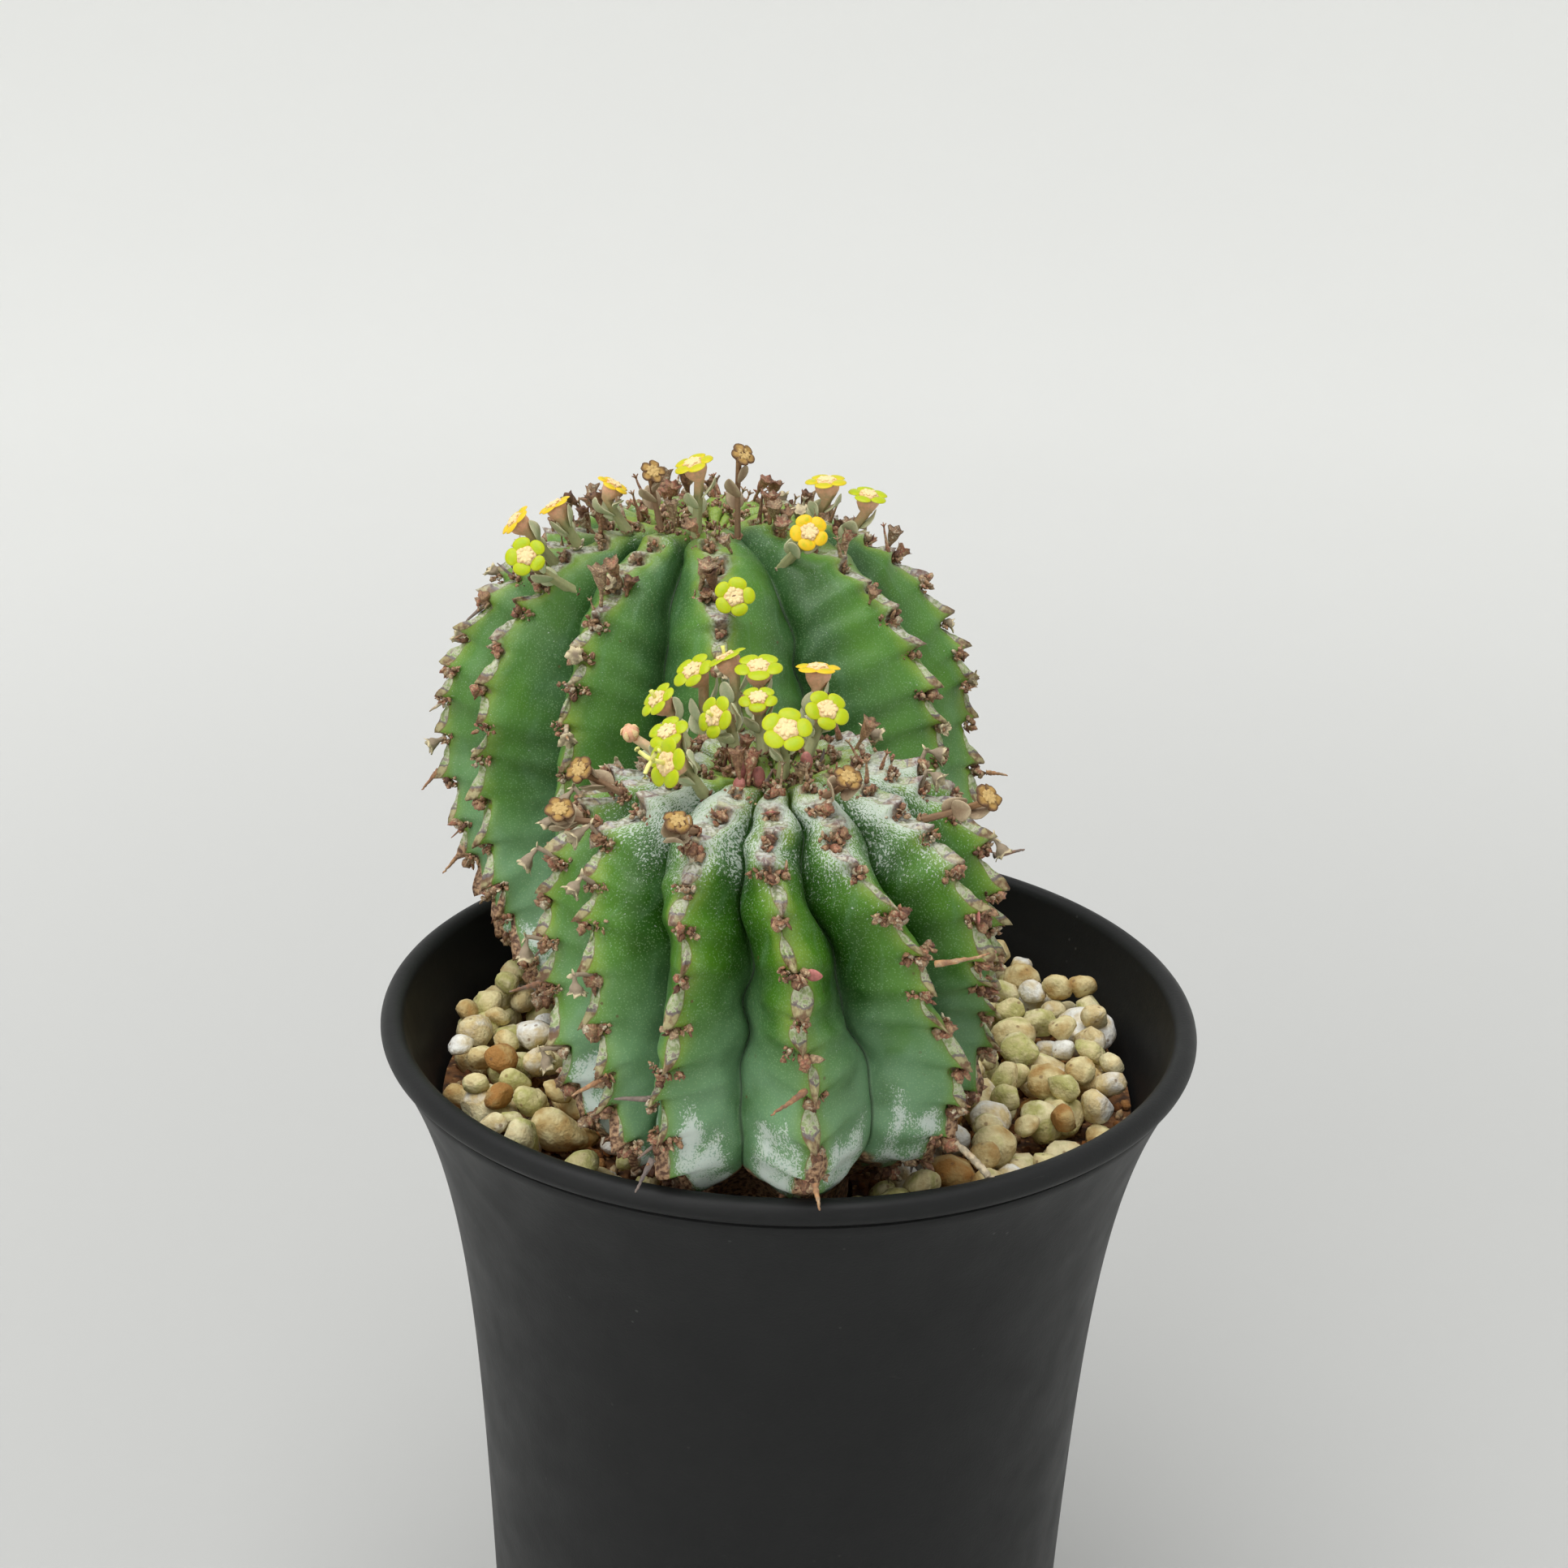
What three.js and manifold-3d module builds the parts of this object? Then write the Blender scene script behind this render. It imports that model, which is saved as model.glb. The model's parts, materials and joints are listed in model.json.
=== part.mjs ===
// A barrel euphorbia with two ribbed stems in a round black plastic pot.
// Millimetres, +Z up. The origin is the middle of the pot's flat underside, and -Y is the front.
// The stems stand in sockets in the soil, pebbles lie on the soil, and flowers stand on the stems.

import * as THREE from 'three';
import { mergeVertices } from 'three/addons/utils/BufferGeometryUtils.js';
import Module from 'manifold-3d';

const wasm = await Module();
wasm.setup();

// Pot
const POT_HEIGHT = 110;
const RIM_RADIUS = 45;
const LIP_RADIUS = 1.3;
const LIP_STEP = 0.6;
const WALL = 1.6;
const FLOOR = 2.2;
const BASE_ROUND = 2;
const BODY_RADIUS = 35.95;
const BODY_TAPER = 0.025;
const FLARE = 9;
const FLARE_LENGTH = 17;
const POT_SIDES = 48;
const WALL_DEPTHS = [4, 8, 13, 20, 30, 45, 70];
const DRAIN = { count: 6, radius: 3, circle: 17, sides: 12 };

// Soil, its sockets and the pebbles on it
const SOIL_DEPTH = 9.5;
const SOCKET_DEPTH = 5.6;
const PIECE_GAP = 0.35;
const SOCKET_GAP = 0.5;
const PEBBLE = { count: 18, small: 2.3, large: 3.3, flatness: 0.82, width: 0.88, seed: 2 };
const PEBBLE_TRIES = 4000;
const PEBBLE_BUMPS = [0.06, 0.05];
const PEBBLE_SPREAD = 1.12;
const PEBBLE_HEADROOM = 1;
const SOCKET_SIDES = 32;

// Heights on the stems are given from the rim, the level of the lip's widest line.
const RIM_Z = POT_HEIGHT - LIP_RADIUS;
const SOIL_Z = RIM_Z - SOIL_DEPTH;

// Each rib's crest wanders, so its azimuth is given at the stem's foot, waist and shoulder,
// in degrees from the front, growing towards +X.
const rib = (foot, waist, shoulder) => ({ foot, waist, shoulder });

const FRONT_STEM = {
  name: 'front_stem',
  x: -1.9,
  y: -24,
  leanX: 0,
  leanY: 0,
  radius: 23.2,
  waist: 19,
  rise: 18.6,
  drop: 23,
  domePower: 2.9,
  footPower: 2.9,
  lowest: -60,
  neck: 8.5,
  swell: { amount: 0.1, azimuth: 15 },
  ribs: [
    rib(-66, -80, -86),
    rib(-42, -50, -64),
    rib(-27, -21, -25),
    rib(12, 7, -1),
    rib(56, 40, 25),
    rib(80, 63, 60),
    rib(98, 87, 92),
    rib(118, 110, 118),
    rib(142, 137, 146),
    rib(168, 165, 174),
    rib(194, 195, 202),
    rib(222, 225, 230),
    rib(254, 252, 254),
  ],
};

const MAIN_STEM = {
  name: 'main_stem',
  x: -10.4,
  y: 24,
  leanX: -4,
  leanY: 12,
  radius: 32,
  waist: 22,
  rise: 28,
  drop: 36,
  domePower: 2.5,
  footPower: 2,
  lowest: -49,
  neck: 12,
  swell: { amount: 0, azimuth: 0 },
  ribs: [
    rib(-80, -80, -80),
    rib(-55, -52, -59),
    rib(-32, -28, -30),
    rib(8, 10, 4),
    rib(58, 60, 60),
    rib(86, 90, 98),
    rib(116, 118, 124),
    rib(145, 146, 150),
    rib(173, 174, 176),
    rib(202, 202, 202),
    rib(228, 230, 228),
    rib(254, 255, 252),
  ],
};

const VALLEY_SHARE = 0.63;
const VALLEY_SINK = 1.4;
const APEX_DIP = 2.4;
const APEX_LEVEL = 83;
const TUBERCLE_CUT = 0.1;
const SHOULDER_LEVEL = 45;
const WAIST_LEVEL = 12;
const FOOT_LEVEL = -25;
const LEAN_SPAN = 27;
const LEAN_LIMIT = 1.2;
const SWELL_LEVEL = -60;
const STEM_ROWS = 23;
const NECK_ROWS = 2;
const NECK_TAPER = 0.9;
const FLANK_SHARE = 0.52;
const RIB_WEIGHTS = [1, FLANK_SHARE, 0, FLANK_SHARE];

// Where the two stems press on each other they are flat. The face stands this far from the
// front stem's axis at the main stem's waist, and draws back above and below it.
const PRESS_REACH = 19.9;
const PRESS_HEIGHT = 22;
const PRESS_BELOW = 0.27;
const PRESS_ABOVE = 0.15;
const PRESS_GAP = 0.3;

// Below this height the ribs stay inside a cone that clears the pot's lip.
const LIP_FREE = 5;
const LIP_INNER = 41.2;
const LIP_SLOPE = 1.2;
const LIP_CLEARANCE = 0.2;

// A flower's head is placed by its azimuth round the stem, its distance out from the stem's
// axis and its height above the stem's apex, and its stalk is tipped outwards from upright.
const head = (around, out, up, tip) => ({ around, out, up, tip });

const FRONT_FLOWERS = [
  head(-143, 14.2, 5, 12),
  head(-154, 12, 6.6, 20),
  head(-166, 8.1, 6.7, 6),
  head(157, 9.8, 6.3, 14),
  head(-112, 12.5, 4.1, 36),
  head(-94, 14.2, 2.4, 54),
  head(-73, 6, 4.8, 24),
  head(-146, 3.3, 5.1, 10),
  head(98, 4.8, 4.9, 22),
  head(10, 5.6, 5, 18),
  head(-78, 10.4, 3.2, 34),
  head(-48, 13.2, 2.6, 46),
];

const MAIN_FLOWERS = [
  head(8, 25.8, -2.8, 62),
  head(38, 18.2, 1.4, 44),
  head(-50, 25, -1.6, 52),
  head(-62, 23.6, 1, 40),
  head(-58, 19.6, 2.6, 30),
  head(-54, 13, 4.4, 20),
  head(-11, 8.6, 7.2, 8),
  head(66, 14.2, 5, 22),
  head(74, 18.4, 3.4, 28),
];

const FRONT_DRY_FLOWERS = [
  head(30, 13.2, 2.5, 52),
  head(-27, 18.5, -0.2, 62),
  head(-65, 21.7, -2.2, 66),
  head(-80, 18.6, -0.4, 58),
  head(65, 21.5, 0.1, 62),
];

const MAIN_DRY_FLOWERS = [
  head(-32, 11.4, 6.4, 14),
  head(23, 9.4, 8.3, 6),
];

// A dry stalk stands on a rib's crest at a level on the stem's profile in degrees. It points
// out from the axis, turned to the side and dropped below level by the angles given.
const stalk = (ribIndex, level, length, side, below) => ({ ribIndex, level, length, side, below });

const FRONT_STALKS = [
  stalk(3, -11, 6, -46, 4),
  stalk(3, -34, 4, 0, 34),
  stalk(4, 14, 6, 34, -14),
  stalk(4, -37, 6, 2, 26),
  stalk(2, -32, 4.6, -10, 40),
  stalk(0, -6, 4.4, 20, 0),
  stalk(7, 15, 5, 0, -2),
];

const MAIN_STALKS = [
  stalk(0, -2, 4.6, 0, 50),
  stalk(0, -19, 4.6, 0, 50),
  stalk(5, -4, 4.4, 0, 2),
];

const FLOWER = { radius: 2.45, notch: 0.74, cup: 1.4, cupDepth: 2.1, stalk: 0.62, disc: 0.35 };
const DRY_FLOWER = { radius: 1.9, notch: 0.7, cup: 0.9, cupDepth: 1.5, stalk: 0.45, disc: 0.4 };
const FLOWER_LOBES = 5;
const FLOWER_FOOT_SHARE = 0.8;
const FLOWER_EDGE_SHARE = 0.96;
const FLOWER_TOP_SHARE = 0.7;
const STALK = { foot: 0.5, middle: 0.35, tip: 0.2, sides: 8 };
const FOOT_ROUND = 0.35;
const SLOPE_GAP = 0.25;
const SLOPE_LIMIT = 66;

const radians = THREE.MathUtils.degToRad;
const clamp = THREE.MathUtils.clamp;
const lerp = THREE.MathUtils.lerp;

const material = (color, roughness) =>
  new THREE.MeshStandardMaterial({ color, roughness, metalness: 0 });

const finishes = {
  pot: material(0x232426, 0.62),
  soil: material(0x8a6a45, 0.95),
  mainStem: material(0x4f8a4a, 0.6),
  frontStem: material(0x3f7d3c, 0.6),
  pebble: material(0xcdbf98, 0.9),
  flower: material(0xb9d21c, 0.5),
  dryFlower: material(0xa37a3c, 0.85),
  stalk: material(0x7a5a44, 0.85),
};

const WELD_DISTANCE = 1e-4;

// A closed mesh with only positions and shared corners, ready to be joined and cut.
function weld(geometry) {
  const bare = geometry.clone();
  bare.deleteAttribute('normal');
  bare.deleteAttribute('uv');
  const merged = mergeVertices(bare, WELD_DISTANCE);
  const corners = merged.index.array;
  const kept = [];
  for (let i = 0; i < corners.length; i += 3) {
    const [a, b, c] = [corners[i], corners[i + 1], corners[i + 2]];
    if (a !== b && b !== c && c !== a) {
      kept.push(a, b, c);
    }
  }
  merged.setIndex(kept);
  return merged;
}

function toSolid(geometry) {
  const merged = weld(geometry);
  const mesh = new wasm.Mesh({
    numProp: 3,
    vertProperties: new Float32Array(merged.attributes.position.array),
    triVerts: new Uint32Array(merged.index.array),
  });
  return new wasm.Manifold(mesh);
}

function toGeometry(solid) {
  const mesh = solid.getMesh();
  const geometry = new THREE.BufferGeometry();
  geometry.setAttribute('position', new THREE.BufferAttribute(mesh.vertProperties, 3));
  geometry.setIndex(new THREE.BufferAttribute(mesh.triVerts, 1));
  return geometry;
}

// Turns a [radius, height] outline about +Z.
function turned(outline, sides) {
  const points = outline.map(([radius, height]) => new THREE.Vector2(radius, height));
  const geometry = new THREE.LatheGeometry(points, sides);
  geometry.rotateX(Math.PI / 2);
  return weld(geometry);
}

function namedMesh(name, geometry, finish) {
  const mesh = new THREE.Mesh(geometry, finish);
  mesh.name = name;
  mesh.updateMatrixWorld();
  return mesh;
}

// The pot's outer radius at a depth below the rim: a slim taper that flares out to the rim.
function potRadius(depth) {
  return BODY_RADIUS - BODY_TAPER * depth + FLARE * Math.exp(-depth / FLARE_LENGTH);
}

function potInside(depth) {
  return potRadius(depth) - WALL;
}

function makePot() {
  const lipCentre = RIM_RADIUS - LIP_RADIUS;
  const outline = [[0, 0]];
  for (const angle of [0, 45, 90]) {
    const turn = radians(angle);
    const inwards = BASE_ROUND * (1 - Math.sin(turn));
    outline.push([potRadius(RIM_Z) - inwards, BASE_ROUND * (1 - Math.cos(turn))]);
  }
  for (const depth of [...WALL_DEPTHS].reverse()) {
    outline.push([potRadius(depth), RIM_Z - depth]);
  }
  outline.push([potRadius(LIP_STEP), RIM_Z - LIP_STEP]);
  for (const angle of [-20, 20, 60, 100, 140, 180]) {
    const turn = radians(angle);
    outline.push([lipCentre + LIP_RADIUS * Math.cos(turn), RIM_Z + LIP_RADIUS * Math.sin(turn)]);
  }
  for (const depth of WALL_DEPTHS) {
    outline.push([potInside(depth), RIM_Z - depth]);
  }
  outline.push([potInside(RIM_Z - FLOOR), FLOOR], [0, FLOOR]);

  let pot = toSolid(turned(outline, POT_SIDES));
  for (let i = 0; i < DRAIN.count; i += 1) {
    const turn = (i / DRAIN.count) * 2 * Math.PI;
    const drill = new THREE.CylinderGeometry(DRAIN.radius, DRAIN.radius, 4 * FLOOR, DRAIN.sides);
    drill.rotateX(Math.PI / 2);
    drill.translate(DRAIN.circle * Math.sin(turn), -DRAIN.circle * Math.cos(turn), 0);
    pot = pot.subtract(toSolid(drill));
  }
  return namedMesh('pot', toGeometry(pot), finishes.pot);
}

// The stem's axis at a height above the rim: it leans towards its foot.
function stemCentre(stem, height) {
  const low = clamp((stem.waist - height) / LEAN_SPAN, 0, LEAN_LIMIT);
  return { x: stem.x - stem.leanX * low, y: stem.y - stem.leanY * low };
}

// The barrel's profile at a level in degrees, from -90 under it to 90 at its apex.
function barrel(stem, level, share, sink) {
  const turn = radians(level);
  const up = level >= 0;
  const power = up ? stem.domePower : stem.footPower;
  const tall = up ? stem.rise - sink : stem.drop - sink;
  const across = Math.pow(Math.abs(Math.cos(turn)) / (stem.radius * share), power);
  const along = Math.pow(Math.abs(Math.sin(turn)) / tall, power);
  const reach = Math.pow(across + along, -1 / power);
  return { out: reach * Math.cos(turn), height: stem.waist + reach * Math.sin(turn) };
}

function crestAzimuth(stem, index, level) {
  const count = stem.ribs.length;
  const turns = Math.floor(index / count);
  const { foot, waist, shoulder } = stem.ribs[index - turns * count];
  const above = THREE.MathUtils.smoothstep(level, WAIST_LEVEL, SHOULDER_LEVEL);
  const below = 1 - THREE.MathUtils.smoothstep(level, FOOT_LEVEL, WAIST_LEVEL);
  const azimuth = waist + (shoulder - waist) * above + (foot - waist) * below;
  return azimuth + 360 * turns;
}

function place(stem, azimuth, out, height) {
  const centre = stemCentre(stem, height);
  const turn = radians(azimuth);
  return new THREE.Vector3(
    centre.x + out * Math.sin(turn),
    centre.y - out * Math.cos(turn),
    height,
  );
}

// A point of the ribbed skin: weight 1 is on the crest and 0 in the valley.
function skinPoint(stem, azimuth, level, weight) {
  const crest = barrel(stem, level, 1, 0);
  const valley = barrel(stem, level, VALLEY_SHARE, VALLEY_SINK);
  const low = clamp(level / SWELL_LEVEL, 0, 1);
  const facing = Math.cos(radians(azimuth - stem.swell.azimuth));
  const swell = 1 + stem.swell.amount * facing * low;
  const out = lerp(valley.out, crest.out, weight) * swell;
  const point = place(stem, azimuth, out, lerp(valley.height, crest.height, weight));
  return insideRim(pressed(stem, point));
}

// Keeps the skin clear of the pot's wall and lip, which the ribs lean over.
function insideRim(point) {
  const wall = potInside(Math.max(0, -point.z)) - PIECE_GAP - LIP_CLEARANCE;
  const limit = point.z > 0 ? LIP_INNER + LIP_SLOPE * point.z : Math.min(wall, LIP_INNER);
  const out = Math.hypot(point.x, point.y);
  if (out > limit && point.z < LIP_FREE) {
    point.x *= limit / out;
    point.y *= limit / out;
  }
  return point;
}

// Flattens the skin where the two stems touch.
function pressed(stem, point) {
  const across = new THREE.Vector2(MAIN_STEM.x - FRONT_STEM.x, MAIN_STEM.y - FRONT_STEM.y);
  across.normalize();
  const reach = (point.x - FRONT_STEM.x) * across.x + (point.y - FRONT_STEM.y) * across.y;
  const below = Math.min(0, point.z - PRESS_HEIGHT) * PRESS_BELOW;
  const above = Math.max(0, point.z - PRESS_HEIGHT) * PRESS_ABOVE;
  const face = PRESS_REACH + below - above;
  const limit = stem === FRONT_STEM
    ? Math.min(0, face - PRESS_GAP - reach)
    : Math.max(0, face + PRESS_GAP - reach);
  point.x += limit * across.x;
  point.y += limit * across.y;
  return point;
}

function makeStem(stem, finish) {
  const columns = stem.ribs.length * RIB_WEIGHTS.length;
  const rows = STEM_ROWS + NECK_ROWS + 2;
  const geometry = new THREE.SphereGeometry(1, columns, rows);
  const position = geometry.attributes.position;
  const soilTop = -SOIL_DEPTH;

  for (let row = 0; row <= rows; row += 1) {
    const share = (row - 1) / STEM_ROWS;
    const level = lerp(APEX_LEVEL, stem.lowest, clamp(share, 0, 1));
    for (let column = 0; column <= columns; column += 1) {
      const across = column / RIB_WEIGHTS.length;
      const index = Math.floor(across);
      const azimuth = lerp(
        crestAzimuth(stem, index, level),
        crestAzimuth(stem, index + 1, level),
        across - index,
      );
      const tooth = row % 2 === 0 ? 1 : 1 - TUBERCLE_CUT;
      let point;
      if (row === 0) {
        point = place(stem, 0, 0, stem.waist + stem.rise - APEX_DIP);
      } else if (row <= STEM_ROWS + 1) {
        const weight = RIB_WEIGHTS[column % RIB_WEIGHTS.length];
        point = skinPoint(stem, azimuth, level, weight * tooth);
      } else if (row === STEM_ROWS + 2) {
        point = place(stem, azimuth, stem.neck, soilTop + PIECE_GAP);
      } else if (row === STEM_ROWS + 3) {
        point = place(stem, azimuth, stem.neck * NECK_TAPER, soilTop - SOCKET_DEPTH + 2 * PIECE_GAP);
      } else {
        point = place(stem, 0, 0, soilTop - SOCKET_DEPTH + PIECE_GAP);
      }
      position.setXYZ(row * (columns + 1) + column, point.x, point.y, point.z + RIM_Z);
    }
  }
  return namedMesh(stem.name, weld(geometry), finish);
}

function makeSoil() {
  const bottom = FLOOR + PIECE_GAP;
  const outline = [[0, bottom], [potInside(RIM_Z - FLOOR) - PIECE_GAP, bottom]];
  for (const depth of [...WALL_DEPTHS].reverse()) {
    if (depth > SOIL_DEPTH) {
      outline.push([potInside(depth) - PIECE_GAP, RIM_Z - depth]);
    }
  }
  outline.push([potInside(SOIL_DEPTH) - 2 * PIECE_GAP, SOIL_Z], [0, SOIL_Z]);
  let soil = toSolid(turned(outline, POT_SIDES));
  for (const stem of [FRONT_STEM, MAIN_STEM]) {
    const centre = stemCentre(stem, -SOIL_DEPTH);
    const deep = stemCentre(stem, -SOIL_DEPTH - SOCKET_DEPTH);
    const top = stem.neck + SOCKET_GAP;
    const socket = new THREE.CylinderGeometry(top, top, 2 * SOCKET_DEPTH, SOCKET_SIDES);
    socket.rotateX(Math.PI / 2);
    socket.translate((centre.x + deep.x) / 2, (centre.y + deep.y) / 2, SOIL_Z);
    soil = soil.subtract(toSolid(socket));
  }
  return namedMesh('soil', toGeometry(soil), finishes.soil);
}

// A repeatable run of numbers from 0 to 1.
const SEQUENCE_FACTOR = 16807;
const SEQUENCE_LIMIT = 2147483647;

function sequence(seed) {
  let state = seed;
  return () => {
    state = (state * SEQUENCE_FACTOR) % SEQUENCE_LIMIT;
    return state / SEQUENCE_LIMIT;
  };
}

// Pebbles lie on the soil wherever the stems and the wall leave them room.
function pebbleSpots() {
  const next = sequence(PEBBLE.seed);
  const wall = potInside(SOIL_DEPTH) - PIECE_GAP;
  const spots = [];
  for (let i = 0; i < PEBBLE_TRIES && spots.length < PEBBLE.count; i += 1) {
    const size = lerp(PEBBLE.small, PEBBLE.large, next());
    const out = wall * Math.sqrt(next());
    const around = next() * 2 * Math.PI;
    const spot = { x: out * Math.sin(around), y: -out * Math.cos(around), size, turn: next() };
    const reach = PEBBLE_SPREAD * size;
    const clearOfStems = [FRONT_STEM, MAIN_STEM].every((stem) => {
      const centre = stemCentre(stem, 2 * size * PEBBLE.flatness - SOIL_DEPTH + PEBBLE_HEADROOM);
      const side = barrel(stem, stem.lowest, 1, 0).out * (1 + stem.swell.amount);
      return Math.hypot(spot.x - centre.x, spot.y - centre.y) > side + reach;
    });
    const clearOfOthers = spots.every((other) => {
      const apart = reach + PEBBLE_SPREAD * other.size + PIECE_GAP;
      return Math.hypot(spot.x - other.x, spot.y - other.y) > apart;
    });
    if (out + reach < wall && clearOfStems && clearOfOthers) {
      spots.push(spot);
    }
  }
  return spots;
}

const numbered = (name, index) => `${name}_${String(index + 1).padStart(2, '0')}`;

function makePebble(spot, index) {
  const geometry = new THREE.IcosahedronGeometry(1, 1);
  const position = geometry.attributes.position;
  const [first, second] = PEBBLE_BUMPS;
  for (let i = 0; i < position.count; i += 1) {
    const [x, y, z] = [position.getX(i), position.getY(i), position.getZ(i)];
    const bump = 1 + first * Math.sin(3 * x + 2 * index) + second * Math.cos(4 * y + z + index);
    position.setXYZ(i, x * bump, y * bump * PEBBLE.width, z * bump * PEBBLE.flatness);
  }
  geometry.scale(spot.size, spot.size, spot.size);
  geometry.rotateZ(spot.turn * Math.PI);
  geometry.computeBoundingBox();
  const mesh = namedMesh(numbered('pebble', index), weld(geometry), finishes.pebble);
  mesh.position.set(spot.x, spot.y, SOIL_Z + PIECE_GAP - geometry.boundingBox.min.z);
  return mesh;
}

// How far a straight line from the tip runs back before its foot is one gap off the stem,
// where a foot on a slope stops a little sooner.
function reachDown(tip, direction, stemMesh) {
  const hit = new THREE.Raycaster(tip, direction.clone().negate()).intersectObject(stemMesh)[0];
  const slope = Math.min(hit.face.normal.angleTo(direction), radians(SLOPE_LIMIT));
  return hit.distance - PIECE_GAP - SLOPE_GAP * Math.tan(slope);
}

function stand(mesh, tip, direction, length) {
  mesh.position.copy(tip).addScaledVector(direction, -length);
  mesh.quaternion.setFromUnitVectors(new THREE.Vector3(0, 0, 1), direction);
  return mesh;
}

// A small flower on its stalk: a cup that opens into a disc with a lobe for each gland.
function flowerGeometry(size, length) {
  const cupFoot = Math.max(length - size.cupDepth, 2 * FOOT_ROUND);
  const outline = [
    [0, 0],
    [size.stalk * FLOWER_FOOT_SHARE, FOOT_ROUND],
    [size.stalk, cupFoot],
    [size.cup, length - size.disc],
    [size.radius, length - size.disc / 2],
    [size.radius * FLOWER_EDGE_SHARE, length + size.disc / 2],
    [size.cup * FLOWER_TOP_SHARE, length + size.disc],
    [0, length + size.disc],
  ];
  const points = outline.map(([radius, height]) => new THREE.Vector2(radius, height));
  const geometry = new THREE.LatheGeometry(points, 2 * FLOWER_LOBES);
  const position = geometry.attributes.position;
  for (let i = 0; i < position.count; i += 1) {
    const side = Math.floor(i / outline.length);
    const [x, z] = [position.getX(i), position.getZ(i)];
    if (side % 2 === 1 && Math.hypot(x, z) > (size.cup + size.radius) / 2) {
      position.setXYZ(i, x * size.notch, position.getY(i), z * size.notch);
    }
  }
  geometry.rotateX(Math.PI / 2);
  return weld(geometry);
}

function makeFlowers(stem, stemMesh, heads, size, name, finish) {
  return heads.map(({ around, out, up, tip }, index) => {
    const spot = place(stem, around, out, stem.waist + stem.rise + up);
    spot.z += RIM_Z;
    const turn = radians(around);
    const tilt = radians(tip);
    const direction = new THREE.Vector3(
      Math.sin(tilt) * Math.sin(turn),
      -Math.sin(tilt) * Math.cos(turn),
      Math.cos(tilt),
    );
    const length = reachDown(spot, direction, stemMesh);
    const flower = namedMesh(numbered(name, index), flowerGeometry(size, length), finish);
    return stand(flower, spot, direction, length);
  });
}

function makeStalks(stem, stemMesh, stalks, name) {
  return stalks.map(({ ribIndex, level, length, side, below }, index) => {
    const azimuth = crestAzimuth(stem, ribIndex, level);
    const foot = skinPoint(stem, azimuth, level, 1 - TUBERCLE_CUT);
    foot.z += RIM_Z;
    const turn = radians(azimuth + side);
    const drop = radians(below);
    const direction = new THREE.Vector3(
      Math.cos(drop) * Math.sin(turn),
      -Math.cos(drop) * Math.cos(turn),
      -Math.sin(drop),
    );
    const tip = foot.clone().addScaledVector(direction, length);
    const reach = reachDown(tip, direction, stemMesh);
    const outline = [
      [0, 0],
      [STALK.foot, FOOT_ROUND],
      [STALK.middle, reach / 2],
      [STALK.tip, reach],
      [0, reach],
    ];
    const piece = namedMesh(numbered(name, index), turned(outline, STALK.sides), finishes.stalk);
    return stand(piece, tip, direction, reach);
  });
}

const plant = new THREE.Group();
plant.add(makePot(), makeSoil());
const mainStem = makeStem(MAIN_STEM, finishes.mainStem);
const frontStem = makeStem(FRONT_STEM, finishes.frontStem);
plant.add(mainStem, frontStem);
pebbleSpots().forEach((spot, index) => plant.add(makePebble(spot, index)));
const { flower, dryFlower } = finishes;
plant.add(
  ...makeFlowers(FRONT_STEM, frontStem, FRONT_FLOWERS, FLOWER, 'front_flower', flower),
  ...makeFlowers(MAIN_STEM, mainStem, MAIN_FLOWERS, FLOWER, 'main_flower', flower),
  ...makeFlowers(FRONT_STEM, frontStem, FRONT_DRY_FLOWERS, DRY_FLOWER, 'front_dry_flower', dryFlower),
  ...makeFlowers(MAIN_STEM, mainStem, MAIN_DRY_FLOWERS, DRY_FLOWER, 'main_dry_flower', dryFlower),
  ...makeStalks(FRONT_STEM, frontStem, FRONT_STALKS, 'front_stalk'),
  ...makeStalks(MAIN_STEM, mainStem, MAIN_STALKS, 'main_stalk'),
);

export default plant;
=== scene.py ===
"""Looks of a potted barrel euphorbia with two stems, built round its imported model.

Objects are in metres. Shapes are worked out in millimetres from the pot's rim line, with -Y the
front and +Z up, and to_frame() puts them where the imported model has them.
"""

import json
import math

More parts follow.
